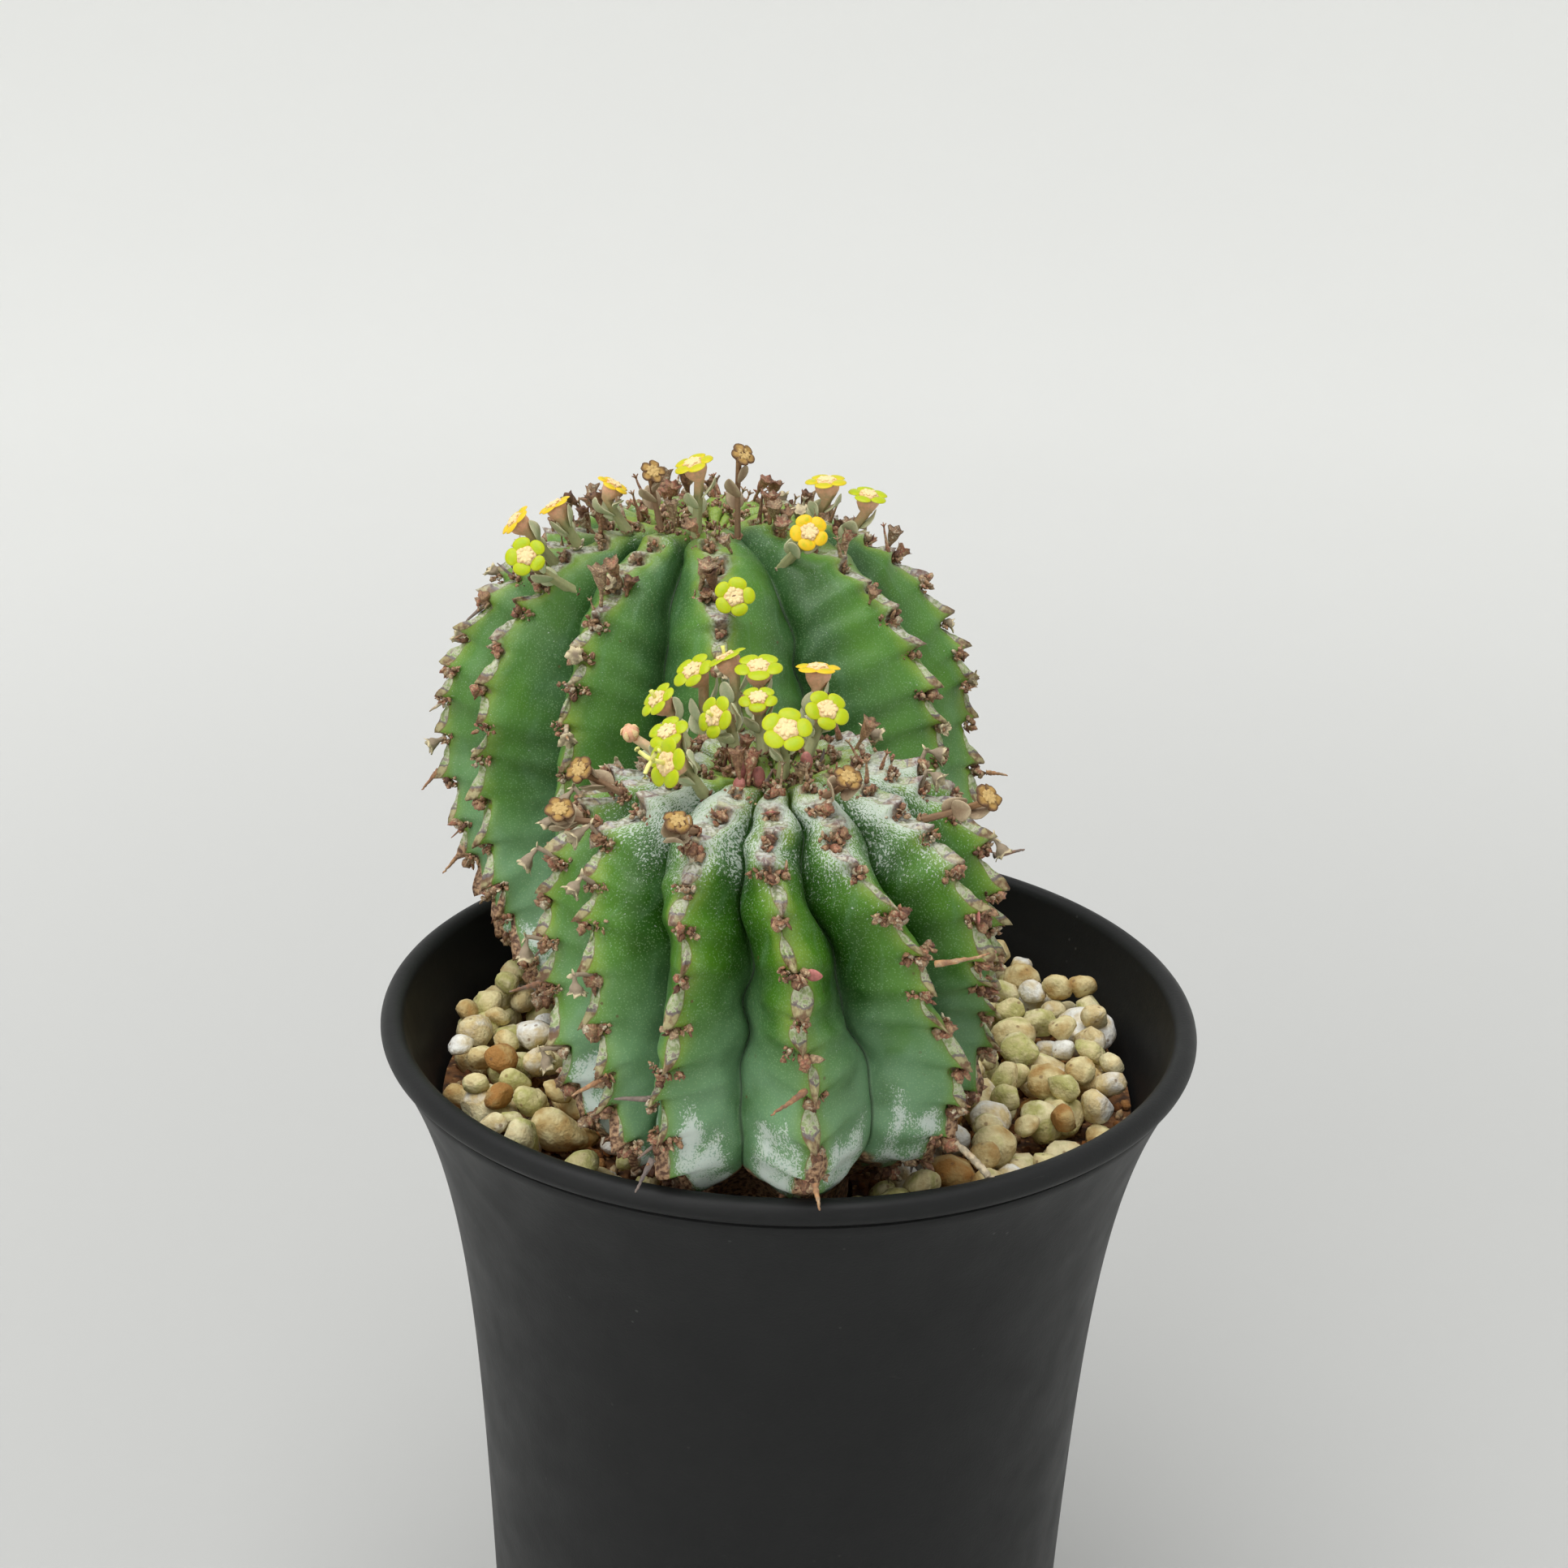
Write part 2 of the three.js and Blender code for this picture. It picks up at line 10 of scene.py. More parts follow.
import bpy
import numpy as np
from bpy.props import FloatProperty, FloatVectorProperty, IntProperty, PointerProperty
from mathutils import Matrix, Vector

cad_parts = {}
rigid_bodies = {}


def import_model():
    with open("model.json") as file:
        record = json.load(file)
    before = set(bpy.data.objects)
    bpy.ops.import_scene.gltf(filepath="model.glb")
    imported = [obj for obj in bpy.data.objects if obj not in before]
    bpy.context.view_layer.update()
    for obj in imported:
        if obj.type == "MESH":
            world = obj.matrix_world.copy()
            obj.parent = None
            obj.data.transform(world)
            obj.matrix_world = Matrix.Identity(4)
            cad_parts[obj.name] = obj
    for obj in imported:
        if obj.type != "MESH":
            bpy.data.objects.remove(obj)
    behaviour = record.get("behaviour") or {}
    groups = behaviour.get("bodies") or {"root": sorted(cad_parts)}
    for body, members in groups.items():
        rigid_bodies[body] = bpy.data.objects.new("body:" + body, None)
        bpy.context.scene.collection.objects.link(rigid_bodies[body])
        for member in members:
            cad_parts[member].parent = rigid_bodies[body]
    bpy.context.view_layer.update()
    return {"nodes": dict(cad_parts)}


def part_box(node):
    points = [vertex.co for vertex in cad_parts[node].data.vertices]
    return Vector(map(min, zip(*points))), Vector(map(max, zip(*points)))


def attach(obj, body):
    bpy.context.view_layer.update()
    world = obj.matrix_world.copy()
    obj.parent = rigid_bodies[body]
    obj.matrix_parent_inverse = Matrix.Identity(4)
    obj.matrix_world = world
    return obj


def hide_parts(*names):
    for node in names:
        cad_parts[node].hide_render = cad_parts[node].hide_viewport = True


bl_info = {
    "name": "Potted Barrel Euphorbia",
    "version": (1, 0, 0),
    "blender": (4, 5, 0),
    "location": "3D View > Sidebar > Barrel",
    "description": "Builds a ribbed succulent with two stems in a black pot round its packed model",
    "category": "Object",
}

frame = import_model()

BODY = "root"
RIM_RADIUS = 45.0
LIP_RADIUS = 1.3
RIM_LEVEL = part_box("pot")[1].z * 1000 - LIP_RADIUS
SOIL_DEPTH = 9.5
SOCKET_DEPTH = 5.6
PIECE_GAP = 0.35
FLOOR = 2.2
BASE_ROUND = 2.0
DRAIN_COUNT = 6
DRAIN_RING = 17.0
GRAIN_COUNT = 1500
# The patch at the left that the gravel leaves bare, as (x, y, radius).
BARE_SOIL = (-22, -25, 5)

# A stem's axis stands at x and y above its waist and leans off by lean_x and lean_y below it. Its
# crests lie on a barrel that rises and drops from the waist, with the powers dome and foot, and
# ends at the level lowest, in degrees below the waist. neck is the radius of its foot in the soil.
# Wax sets in between the two levels of wax, and swell widens the foot towards swell_azimuth. The
# skin has so many rows and each cluster of scales so many crumbs. Each rib's crest is at three
# azimuths, at the foot, the waist and the shoulder, in degrees from the front towards +X.
FRONT_STEM = {
    "name": "front", "x": -1.9, "y": -24.0, "lean_x": 0.0, "lean_y": 0.0, "radius": 23.2,
    "waist": 19.0, "rise": 18.6, "drop": 23.0, "dome": 2.9, "foot": 2.9, "lowest": -60.0,
    "neck": 8.5, "wax": (20, 54), "swell": 0.1, "swell_azimuth": 15.0, "rows": 218, "seed": 11,
    "crumbs": 14,
    "ribs": (
        (-66, -80, -86), (-42, -50, -64), (-27, -21, -25), (12, 7, -1), (56, 40, 25),
        (80, 63, 60), (98, 87, 92), (118, 110, 118), (142, 137, 146), (168, 165, 174),
        (194, 195, 202), (222, 225, 230), (254, 252, 254),
    ),
}
MAIN_STEM = {
    "name": "main", "x": -10.4, "y": 24.0, "lean_x": -4.0, "lean_y": 12.0, "radius": 32.0,
    "waist": 22.0, "rise": 28.0, "drop": 36.0, "dome": 2.5, "foot": 2.0, "lowest": -49.0,
    "neck": 12.0, "wax": (56, 84), "swell": 0.0, "swell_azimuth": 0.0, "rows": 226, "seed": 23,
    "crumbs": 11,
    "ribs": (
        (-80, -80, -80), (-55, -52, -59), (-32, -28, -30), (8, 10, 4), (58, 60, 60),
        (86, 90, 98), (116, 118, 124), (145, 146, 150), (173, 174, 176), (202, 202, 202),
        (228, 230, 228), (254, 255, 252),
    ),
}
RIB_COLUMNS = 28
NECK_ROWS = 12
APEX_LEVEL = 89.3
VALLEY_SHARE = 0.63
VALLEY_SINK = 1.4
APEX_DIP = 2.4
# A tooth rises from the start of its pitch to its nose and falls to the notch that holds its scales.
NOSE = 0.70
NOTCH = 0.84
YOUNG_PITCH = 2.6
STONE_TINTS = (0.1, 0.22, 0.36, 0.4, 0.52, 0.66, 0.7, 0.84, 0.97)
STALK_TINTS = (0.62, 0.72, 0.78, 1.0, 0.15, 0.45, 0.35)

# Where each flower's face looks as seen by the camera: degrees away from it, the way it leans
# round from the right, its radius in millimetres, its share of amber and its kind.
HEADS = {
    "front": (
        (52, 128, 2.30, 0.05, ""), (80, 116, 2.20, 0.10, "pistil"), (54, 92, 2.45, 0.10, ""),
        (74, 88, 2.30, 0.85, ""), (58, 138, 2.10, 0.10, "pistil"), (40, 110, 1.50, 0.0, "bud"),
        (42, 165, 2.15, 0.0, "pistil"), (48, 95, 1.95, 0.15, ""), (34, 60, 2.25, 0.12, ""),
        (30, 88, 2.45, 0.12, ""), (48, 120, 2.10, 0.05, ""), (45, 172, 2.45, 0.0, "style"),
    ),
    "main": (
        (12, 90, 2.20, 0.15, ""), (14, 80, 2.15, 0.95, ""), (16, 100, 2.30, 0.05, ""),
        (66, 140, 2.10, 0.9, ""), (72, 120, 2.0, 1.0, ""), (70, 60, 1.9, 0.8, ""),
        (58, 110, 2.30, 0.45, ""), (64, 92, 2.40, 0.5, ""), (60, 80, 2.30, 0.2, ""),
    ),
}
DRY_RADIUS = 1.45
FRESH_RADIUS = 0.00245
GLANDS = 5

# The front stem's teeth that kept a drooping withered flower and those with rosy scales.
DROOPING = (
    (12, 7), (12, 8), (0, 7), (0, 9), (0, 11), (1, 6), (1, 7), (1, 9), (6, 5), (6, 7), (7, 6),
    (8, 5), (10, 6), (11, 7),
)
# Rosy scales are given as (rib, number, side): 1 is left in the photo, -1 right, 0 on the tooth.
ROSY = ((3, 8, -1), (3, 8, 0), (5, 8, 1), (5, 9, -1), (3, 4, 0), (12, 9, -1))
# Rosy buds round the front stem's tip are given as (azimuth, way out, height, half width).
TIP_BUDS = (
    (-38, 5.0, 1.6, 0.8), (-22, 4.4, 0.9, 0.75), (-30, 6.6, 0.7, 0.62), (60, 3.4, 1.8, 0.7),
    (150, 4.0, 1.6, 0.7), (-120, 5.2, 1.8, 0.66),
)

# The photograph's camera, fitted to the pot's rim: its turn in degrees, its place in millimetres
# from the rim line, and its focal length as a share of the picture's width.
PHOTO_TURN = (20.792223, -0.308067, 1.429899)
PHOTO_PLACE = (0, -220.485, 109.790)
PHOTO_FOCAL = 2700 / 1932
SENSOR_WIDTH = 36

# The stage, in metres: a round floor that curves up into a wall.
FLOOR_FLAT = 0.75
FLOOR_CURVE = 0.75
WALL_HEIGHT = 1.3
FLOOR_THICKNESS = 0.03


def length(name, description, default):
    """A size that a user may change, in metres."""
    return FloatProperty(
        name=name, description=description, default=default, min=0, subtype="DISTANCE",
        unit="LENGTH", precision=5,
    )


def share(name, description, default):
    """An amount from 0 to 1."""
    return FloatProperty(
        name=name, description=description, default=default, min=0, max=1, subtype="FACTOR"
    )


def colour(name, description, *default):
    """A linear colour that a user may change."""
    return FloatVectorProperty(
        name=name, description=description, default=default, min=0, max=1, size=3,
        subtype="COLOR",
    )


class PotSettings(bpy.types.PropertyGroup):
    """Sizes and colours of the pot, its soil and its gravel."""

    wall: length("Wall", "Thickness of the pot's wall", 0.0016)
    drain_radius: length("Drain Radius", "Radius of each drain hole", 0.003)
    sides: IntProperty(name="Sides", description="Flats round the pot", default=192, min=24)
    plastic: colour("Plastic", "Main colour of the pot", 0.0076, 0.0079, 0.0080)
    speck: colour("Specks", "Light specks and scratches", 0.07, 0.07, 0.066)
    soil: colour("Soil", "Main colour of the soil", 0.188, 0.08, 0.026)
    pebble_count: IntProperty(
        name="Loose Pebbles", description="Pebbles tried besides the packed ones", default=2600
    )


class StemSettings(bpy.types.PropertyGroup):
    """Sizes and colours of the stems' skin."""

    tooth_height: length("Tooth Height", "How far a tooth stands out of its crest", 0.0019)
    tooth_pitch: length("Tooth Pitch", "Distance from tooth to tooth at the waist", 0.0046)
    flank: colour("Flank", "Middle green of the flanks", 0.066, 0.190, 0.008)
    # The deep green is partly painted shade towards the valleys.
    deep: colour("Deep", "Dark green towards the valleys", 0.016, 0.072, 0.003)
    glaucous: colour("Glaucous", "Blue-green of the lower skin", 0.150, 0.285, 0.150)
    crest: colour("Crest", "Yellow-green near the crests", 0.26, 0.36, 0.050)
    wax: colour("Wax", "White wax near the tip and the foot", 0.56, 0.62, 0.56)
    bead: colour("Bead", "Cream of the horny beads", 0.58, 0.60, 0.42)


class FlowerSettings(bpy.types.PropertyGroup):
    """Sizes and colours of the flowers."""

    radius: length("Flower Radius", "Radius across a fresh flower's glands", FRESH_RADIUS)
    gland: colour("Gland", "Yellow-green of the glands", 0.43, 0.50, 0.004)
    centre: colour("Centre", "Peach of the flower's middle", 0.87, 0.66, 0.34)
    amber: colour("Amber", "Orange-yellow of the older glands", 0.80, 0.50, 0.012)
    bract: colour("Bract", "Grey-green of the small leaves", 0.45, 0.51, 0.29)


class StageSettings(bpy.types.PropertyGroup):
    """The floor and the light."""

    floor: colour("Floor", "Pale floor and backdrop", 0.88, 0.885, 0.865)
    key_power: FloatProperty(
        name="Key Power", description="Power of the large soft light", default=9.0, unit="POWER"
    )
    fill: share("Fill", "Strength of the light from all round", 0.57)


class PlantSettings(bpy.types.PropertyGroup):
    """All the settings of the plant."""

    pot: PointerProperty(type=PotSettings)
    stem: PointerProperty(type=StemSettings)
    flower: PointerProperty(type=FlowerSettings)
    stage: PointerProperty(type=StageSettings)


def settings():
    """The plant's settings in the open scene."""
    return bpy.context.scene.barrel_euphorbia


# Numbers


def smoothstep(value, low, high):
    """0 at low and 1 at high, with a soft start and end. It falls where low is above high."""
    part = np.clip((np.asarray(value, float) - low) / (high - low), 0, 1)
    return part * part * (3 - 2 * part)


def to_frame(points):
    """Millimetres from the rim line to the frame's metres."""
    return (np.asarray(points, float) + (0, 0, RIM_LEVEL)) / 1000


def unit(vectors):
    """The same directions, one long."""
    return vectors / np.maximum(np.linalg.norm(vectors, axis=-1, keepdims=True), 1e-12)


def ripple(points, size, seed):
    """A smooth random swell between about -1 and 1 whose waves are about size apart."""
    waves = 8
    draw = np.random.default_rng(seed)
    ways = unit(draw.normal(size=(waves, 3))) * (2 * np.pi / size)
    ways *= draw.uniform(0.6, 1.5, (waves, 1))
    turns = np.asarray(points, float) @ ways.T + draw.uniform(0, 2 * np.pi, waves)
    return np.sin(turns).sum(-1) / np.sqrt(waves) / 1.4


# Meshes


def loft(rings, bottom=None, top=None):
    """A closed skin over rings that run anticlockwise and follow each other upwards."""
    rings = np.asarray(rings, float)
    rows, sides = rings.shape[:2]
    ends = [rings[0].mean(0) if bottom is None else bottom]
    ends.append(rings[-1].mean(0) if top is None else top)
    points = np.vstack([rings.reshape(-1, 3), ends])
    grid = np.arange(rows * sides).reshape(rows, sides)
    after = np.roll(grid, -1, 1)
    quads = np.stack([grid[:-1], after[:-1], after[1:], grid[1:]], -1).reshape(-1, 4)
    faces = quads.tolist()
    faces += [[rows * sides, b, a] for a, b in zip(grid[0].tolist(), after[0].tolist())]
    faces += [[rows * sides + 1, a, b] for a, b in zip(grid[-1].tolist(), after[-1].tolist())]
    return points, faces


def circle(sides):
    """Points on a circle one in radius, anticlockwise from +X."""
    turn = np.arange(sides) * 2 * np.pi / sides
    return np.stack([np.cos(turn), np.sin(turn)], -1)


def ball(sides, rows):
    """A unit ball with its poles on Z."""
    turn = np.linspace(-np.pi / 2, np.pi / 2, rows + 2)[1:-1]
    rings = np.zeros((rows, sides, 3))
    rings[..., :2] = circle(sides)[None] * np.cos(turn)[:, None, None]
    rings[..., 2] = np.sin(turn)[:, None]
    return loft(rings, (0, 0, -1), (0, 0, 1))


def turned(outline, sides, lobes=0.0):
    """An outline of (radius, height) turned about Z, with five lobes of a share of its radius."""
    outline = np.asarray(outline, float)
    flat = circle(sides)
    swell = 1 + lobes * np.cos(5 * np.arange(sides) * 2 * np.pi / sides)
    rings = np.zeros((len(outline) - 2, sides, 3))
    rings[..., :2] = outline[1:-1, 0, None, None] * (flat * swell[:, None])[None]
    rings[..., 2] = outline[1:-1, 1, None]
    return loft(rings, (0, 0, outline[0, 1]), (0, 0, outline[-1, 1]))


def tube(path, radii, sides):
    """A round closed tube along a path that runs mostly upwards."""
    path = np.asarray(path, float)
    ahead = unit(np.gradient(path, axis=0))
    side = unit(np.cross((0.03, 1.0, 0.02), ahead))
    other = np.cross(ahead, side)
    flat = circle(sides)
    spokes = flat[None, :, :1] * side[:, None] + flat[None, :, 1:] * other[:, None]
    return loft(path[:, None] + spokes * np.asarray(radii, float)[:, None, None])


def leaf(size, width, thickness, curl, cup, sides, rows):
    """A thin pointed leaf that stands on the origin along Z and curls towards +Y, with its tones."""
    points, faces = ball(sides, rows)
    tall = (points[:, 2] + 1) / 2
    breadth = np.sin(np.pi * np.clip(tall, 0, 1) ** 0.8) ** 0.7 * 0.5 + 0.02
    away = np.maximum(np.hypot(points[:, 0], points[:, 1]), 1e-9)
    across, depth = points[:, 0] / away, points[:, 1] / away
    x = across * breadth * width
    y = depth * thickness * (breadth + 0.1) + curl * tall**2 + cup * (x / width) ** 2
    made = np.stack([x, y, tall * size], -1)
    return made, faces, np.abs(across) * 0.5 + tall * 0.5


def spun(points, about_x, about_z=0.0, shift=(0, 0, 0)):
    """Points turned about X, then about Z, in degrees, then moved."""
    turn = Matrix.Rotation(math.radians(about_z), 3, "Z")
    turn = turn @ Matrix.Rotation(math.radians(about_x), 3, "X")
    return np.asarray(points) @ np.array(turn).T + np.asarray(shift, float)


def axis_frame(axis):
    """Two directions square to an axis and the axis itself, as rows."""
    axis = unit(np.asarray(axis, float))
    side = unit(np.cross((0, 1, 0) if abs(axis[1]) < 0.9 else (1, 0, 0), axis))
    return np.stack([side, np.cross(axis, side), axis])


def nodded(points, size, pivot, axis, target):
    """Bends a flower's head from its axis towards a target, with the head's middle left in place."""
    aim = axis_frame(axis) @ unit(np.asarray(target, float))
    angle = min(math.acos(max(-1, min(1, aim[2]))), math.radians(66))
    way = unit(aim[:2])
    bend = angle * smoothstep(points[:, 2], pivot - 0.7, pivot + 0.5)
    along, up = points[:, :2] @ way, points[:, 2] - pivot
    turned_along = along * np.cos(bend) + up * np.sin(bend)
    turned_up = up * np.cos(bend) - along * np.sin(bend)
    reach = size - pivot
    pull = np.clip(points[:, 2] / pivot, 0, 1)
    made = points.copy()
    made[:, :2] += np.outer(turned_along - along - reach * math.sin(angle) * pull, way)
    made[:, 2] = pivot + turned_up + reach * (1 - math.cos(angle)) * pull
    return made


class Pile:
    """Closed shapes gathered into one mesh, each with a finish's number and a tone."""

    def __init__(self):
        self.points, self.faces, self.finishes, self.tones = [], [], [], []
        self.count = 0

    def add(self, points, faces, finish=0, tone=0.5):
        """Adds a shape. The tone is one value or one for each point."""
        self.points.append(np.asarray(points, float))
        self.faces += [[corner + self.count for corner in face] for face in faces]
        self.finishes += [finish] * len(faces)
        self.tones.append(np.broadcast_to(np.asarray(tone, float), (len(points),)))
        self.count += len(points)

    def join(self, other):
        """Adds all the shapes of another pile."""
        self.faces += [[corner + self.count for corner in face] for face in other.faces]
        self.points += other.points
        self.finishes += other.finishes
        self.tones += other.tones
        self.count += other.count

    def moved(self, foot, axis):
        """All points, turned so that Z becomes the axis and put on the foot."""
        return np.vstack(self.points) @ axis_frame(axis) + foot

    def mesh(self, name, points):
        """The pile as a mesh with its points put elsewhere."""
        tones = {"tone": np.concatenate(self.tones)}
        return plain_mesh(name, points, self.faces, self.finishes, tones)


def plain_mesh(name, points, faces, finishes=None, attributes=None):
    """A smooth mesh in metres from points that are in metres or in a shape's own units."""
    mesh = bpy.data.meshes.new(name)
    mesh.from_pydata(np.asarray(points, float).tolist(), [], faces)
    for key, values in (attributes or {}).items():
        values = np.asarray(values, np.float32)
        kind = "FLOAT_VECTOR" if values.ndim == 2 else "FLOAT"
        made = mesh.attributes.new(key, kind, "POINT")
        made.data.foreach_set("vector" if values.ndim == 2 else "value", values.ravel())
    if finishes is not None:
        mesh.polygons.foreach_set("material_index", np.asarray(finishes, np.int32))
    if faces:
        mesh.shade_smooth()
    mesh.update()
    return mesh


def volume(mesh):
    """The signed volume, which is positive where the faces point outwards."""
    mesh.calc_loop_triangles()
    corners = np.zeros(len(mesh.loop_triangles) * 3, np.int32)
    mesh.loop_triangles.foreach_get("vertices", corners)
    points = np.zeros(len(mesh.vertices) * 3)
    mesh.vertices.foreach_get("co", points)
    a, b, c = points.reshape(-1, 3)[corners.reshape(-1, 3)].transpose(1, 0, 2)
    return float(np.einsum("ij,ij->i", a, np.cross(b, c)).sum() / 6)


def linked(name, data):
    """A new object in the scene."""
    made = bpy.data.objects.new(name, data)
    bpy.context.scene.collection.objects.link(made)
    return made


def show(name, mesh, finishes, slot, *nodes):
    """Shows a finished mesh as a piece that rides with the plant and stands for its nodes."""
    if volume(mesh) <= 0:
        mesh.flip_normals()
    if volume(mesh) <= 0:
        raise RuntimeError(f"{name} has no inside")
    for finish in finishes:
        mesh.materials.append(finish)
    mesh.name = name
    piece = linked(name, mesh)
    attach(piece, BODY)
    if nodes:
        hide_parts(*nodes)
    return piece


def numbered(name, index):
    """The name of a piece that is one of a row, counted from 1."""
    return f"{name}_{index + 1:02d}"


def numbered_nodes(name):
    """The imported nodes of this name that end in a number, in order."""
    found = [n for n in frame["nodes"] if n.startswith(name + "_") and n[len(name) + 1:].isdigit()]
    return sorted(found)


def node_points(name):
    """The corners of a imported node, without repeats, in millimetres from the rim line."""
    flat = np.array([v.co for v in frame["nodes"][name].data.vertices], float).reshape(-1, 3)
    return np.unique(np.round(flat * 1000 - (0, 0, RIM_LEVEL), 4), axis=0)


def turned_ends(name):
    """The slim end and the wide end of a small turned node, in millimetres."""
    points = node_points(name)
    centre = points.mean(0)
    sizes, ways = np.linalg.eigh(np.cov((points - centre).T))
    single = 0 if sizes[1] / sizes[0] > sizes[2] / sizes[1] else 2
    axis = ways[:, single]
    along = (points - centre) @ axis
    out = np.linalg.norm(points - centre - along[:, None] * axis, axis=1)
    middle = (along.min() + along.max()) / 2
    wide_high = out[along > middle].max() > out[along < middle].max()
    low, high = centre + axis * along.min(), centre + axis * along.max()
    return (low, high) if wide_high else (high, low)


# Node trees


def node(tree, kind, inputs=None, **values):
    """Adds a node. An input takes a value or another node's output."""
    made = tree.nodes.new(kind)
    for key, value in values.items():
        setattr(made, key, value)
    for key, value in (inputs or {}).items():
        if isinstance(value, bpy.types.NodeSocket):
            tree.links.new(value, made.inputs[key])
        else:
            made.inputs[key].default_value = value
    return made


def new_tree(name, sockets):
    """An empty geometry tree with named inputs and the node that gives them."""
    tree = bpy.data.node_groups.new(name, "GeometryNodeTree")
    tree.interface.new_socket("Geometry", in_out="OUTPUT", socket_type="NodeSocketGeometry")
    for title, kind in sockets:
        tree.interface.new_socket(title, in_out="INPUT", socket_type="NodeSocket" + kind)
    return tree, node(tree, "NodeGroupInput").outputs


def end_tree(tree, geometry, finish):
    """Ends a tree with real meshes that carry the finish."""
    plain = node(tree, "GeometryNodeRealizeInstances", {0: geometry})
    inputs = {"Geometry": plain.outputs[0], "Material": finish}
    done = node(tree, "GeometryNodeSetMaterial", inputs)
    node(tree, "NodeGroupOutput", {0: done.outputs[0]})
    return tree


def grow(name, source, tree, values):
    """Runs a tree on a mesh and keeps the result as a plain mesh."""
    holder = linked(name, source)
    modifier = holder.modifiers.new("Build", "NODES")
    modifier.node_group = tree
    for item in tree.interface.items_tree:
        if item.in_out == "INPUT" and item.name in values:
            modifier[item.identifier] = values[item.name]
    graph = bpy.context.evaluated_depsgraph_get()
    mesh = bpy.data.meshes.new_from_object(
        holder.evaluated_get(graph), preserve_all_data_layers=True, depsgraph=graph
    )
    bpy.data.objects.remove(holder)
    if not mesh.polygons:
        raise RuntimeError(f"{name} came out empty")
    return mesh


def turned_tree():
    """Turns an outline about Z, roughens what lies above a level and cuts holes."""
    tree, given = new_tree(
        "turned_piece",
        [
            ("Outline", "Geometry"), ("Corners", "Int"), ("Sides", "Int"), ("Cutter", "Object"),
            ("Rough Above", "Float"), ("Rough Height", "Float"), ("Rough Scale", "Float"),
            ("Finish", "Material"),
        ],
    )

    def calc(operation, first, second):
        """Arithmetic on two values."""
        return node(tree, "ShaderNodeMath", {0: first, 1: second}, operation=operation).outputs[0]

    columns = calc("ADD", given["Sides"], 1.0)
    corners = given["Corners"]
    grid = node(tree, "GeometryNodeMeshGrid", {"Vertices X": columns, "Vertices Y": corners})
    index = node(tree, "GeometryNodeInputIndex").outputs[0]
    column = calc("FLOOR", calc("DIVIDE", calc("ADD", index, 0.5), corners), 0.0)
    row = calc("SUBTRACT", index, calc("MULTIPLY", column, corners))
    place = node(tree, "GeometryNodeInputPosition").outputs[0]
    sample = node(
        tree, "GeometryNodeSampleIndex",
        {"Geometry": given["Outline"], "Value": place, "Index": row}, data_type="FLOAT_VECTOR",
    )
    for link in list(sample.inputs["Value"].links):
        tree.links.remove(link)
    vector_in = [s for s in sample.inputs if s.name == "Value" and s.enabled][0]
    tree.links.new(place, vector_in)
    vector_out = [s for s in sample.outputs if s.enabled][0]
    corner = node(tree, "ShaderNodeSeparateXYZ", {0: vector_out}).outputs
    angle = calc("MULTIPLY", calc("DIVIDE", column, given["Sides"]), 2 * math.pi)
    spot = node(
        tree, "ShaderNodeCombineXYZ",
        {
            0: calc("MULTIPLY", corner[0], calc("COSINE", angle, 0.0)),
            1: calc("MULTIPLY", corner[0], calc("SINE", angle, 0.0)),
            2: corner[2],
        },
    )
    bent = node(
        tree, "GeometryNodeSetPosition", {"Geometry": grid.outputs[0], "Position": spot.outputs[0]}
    )
    joined = node(
        tree, "GeometryNodeMergeByDistance", {"Geometry": bent.outputs[0], "Distance": 1e-6}
    )
    height = node(tree, "ShaderNodeSeparateXYZ", {0: place}).outputs[2]
    noise = node(
        tree, "ShaderNodeTexNoise", {"Vector": place, "Scale": given["Rough Scale"], "Detail": 3.0}
    )
    lift = calc("MULTIPLY", calc("SUBTRACT", noise.outputs[0], 0.5), given["Rough Height"])
    rough = node(
        tree, "GeometryNodeSetPosition",
        {
            "Geometry": joined.outputs[0],
            "Selection": calc("GREATER_THAN", height, given["Rough Above"]),
            "Offset": node(tree, "ShaderNodeCombineXYZ", {2: lift}).outputs[0],
        },
    )
    cutter = node(tree, "GeometryNodeObjectInfo", {"Object": given["Cutter"]})
    cut = node(tree, "GeometryNodeMeshBoolean", operation="DIFFERENCE")
    tree.links.new(rough.outputs[0], cut.inputs["Mesh 1"])
    tree.links.new(cutter.outputs["Geometry"], cut.inputs["Mesh 2"])
    return end_tree(tree, cut.outputs[0], given["Finish"])


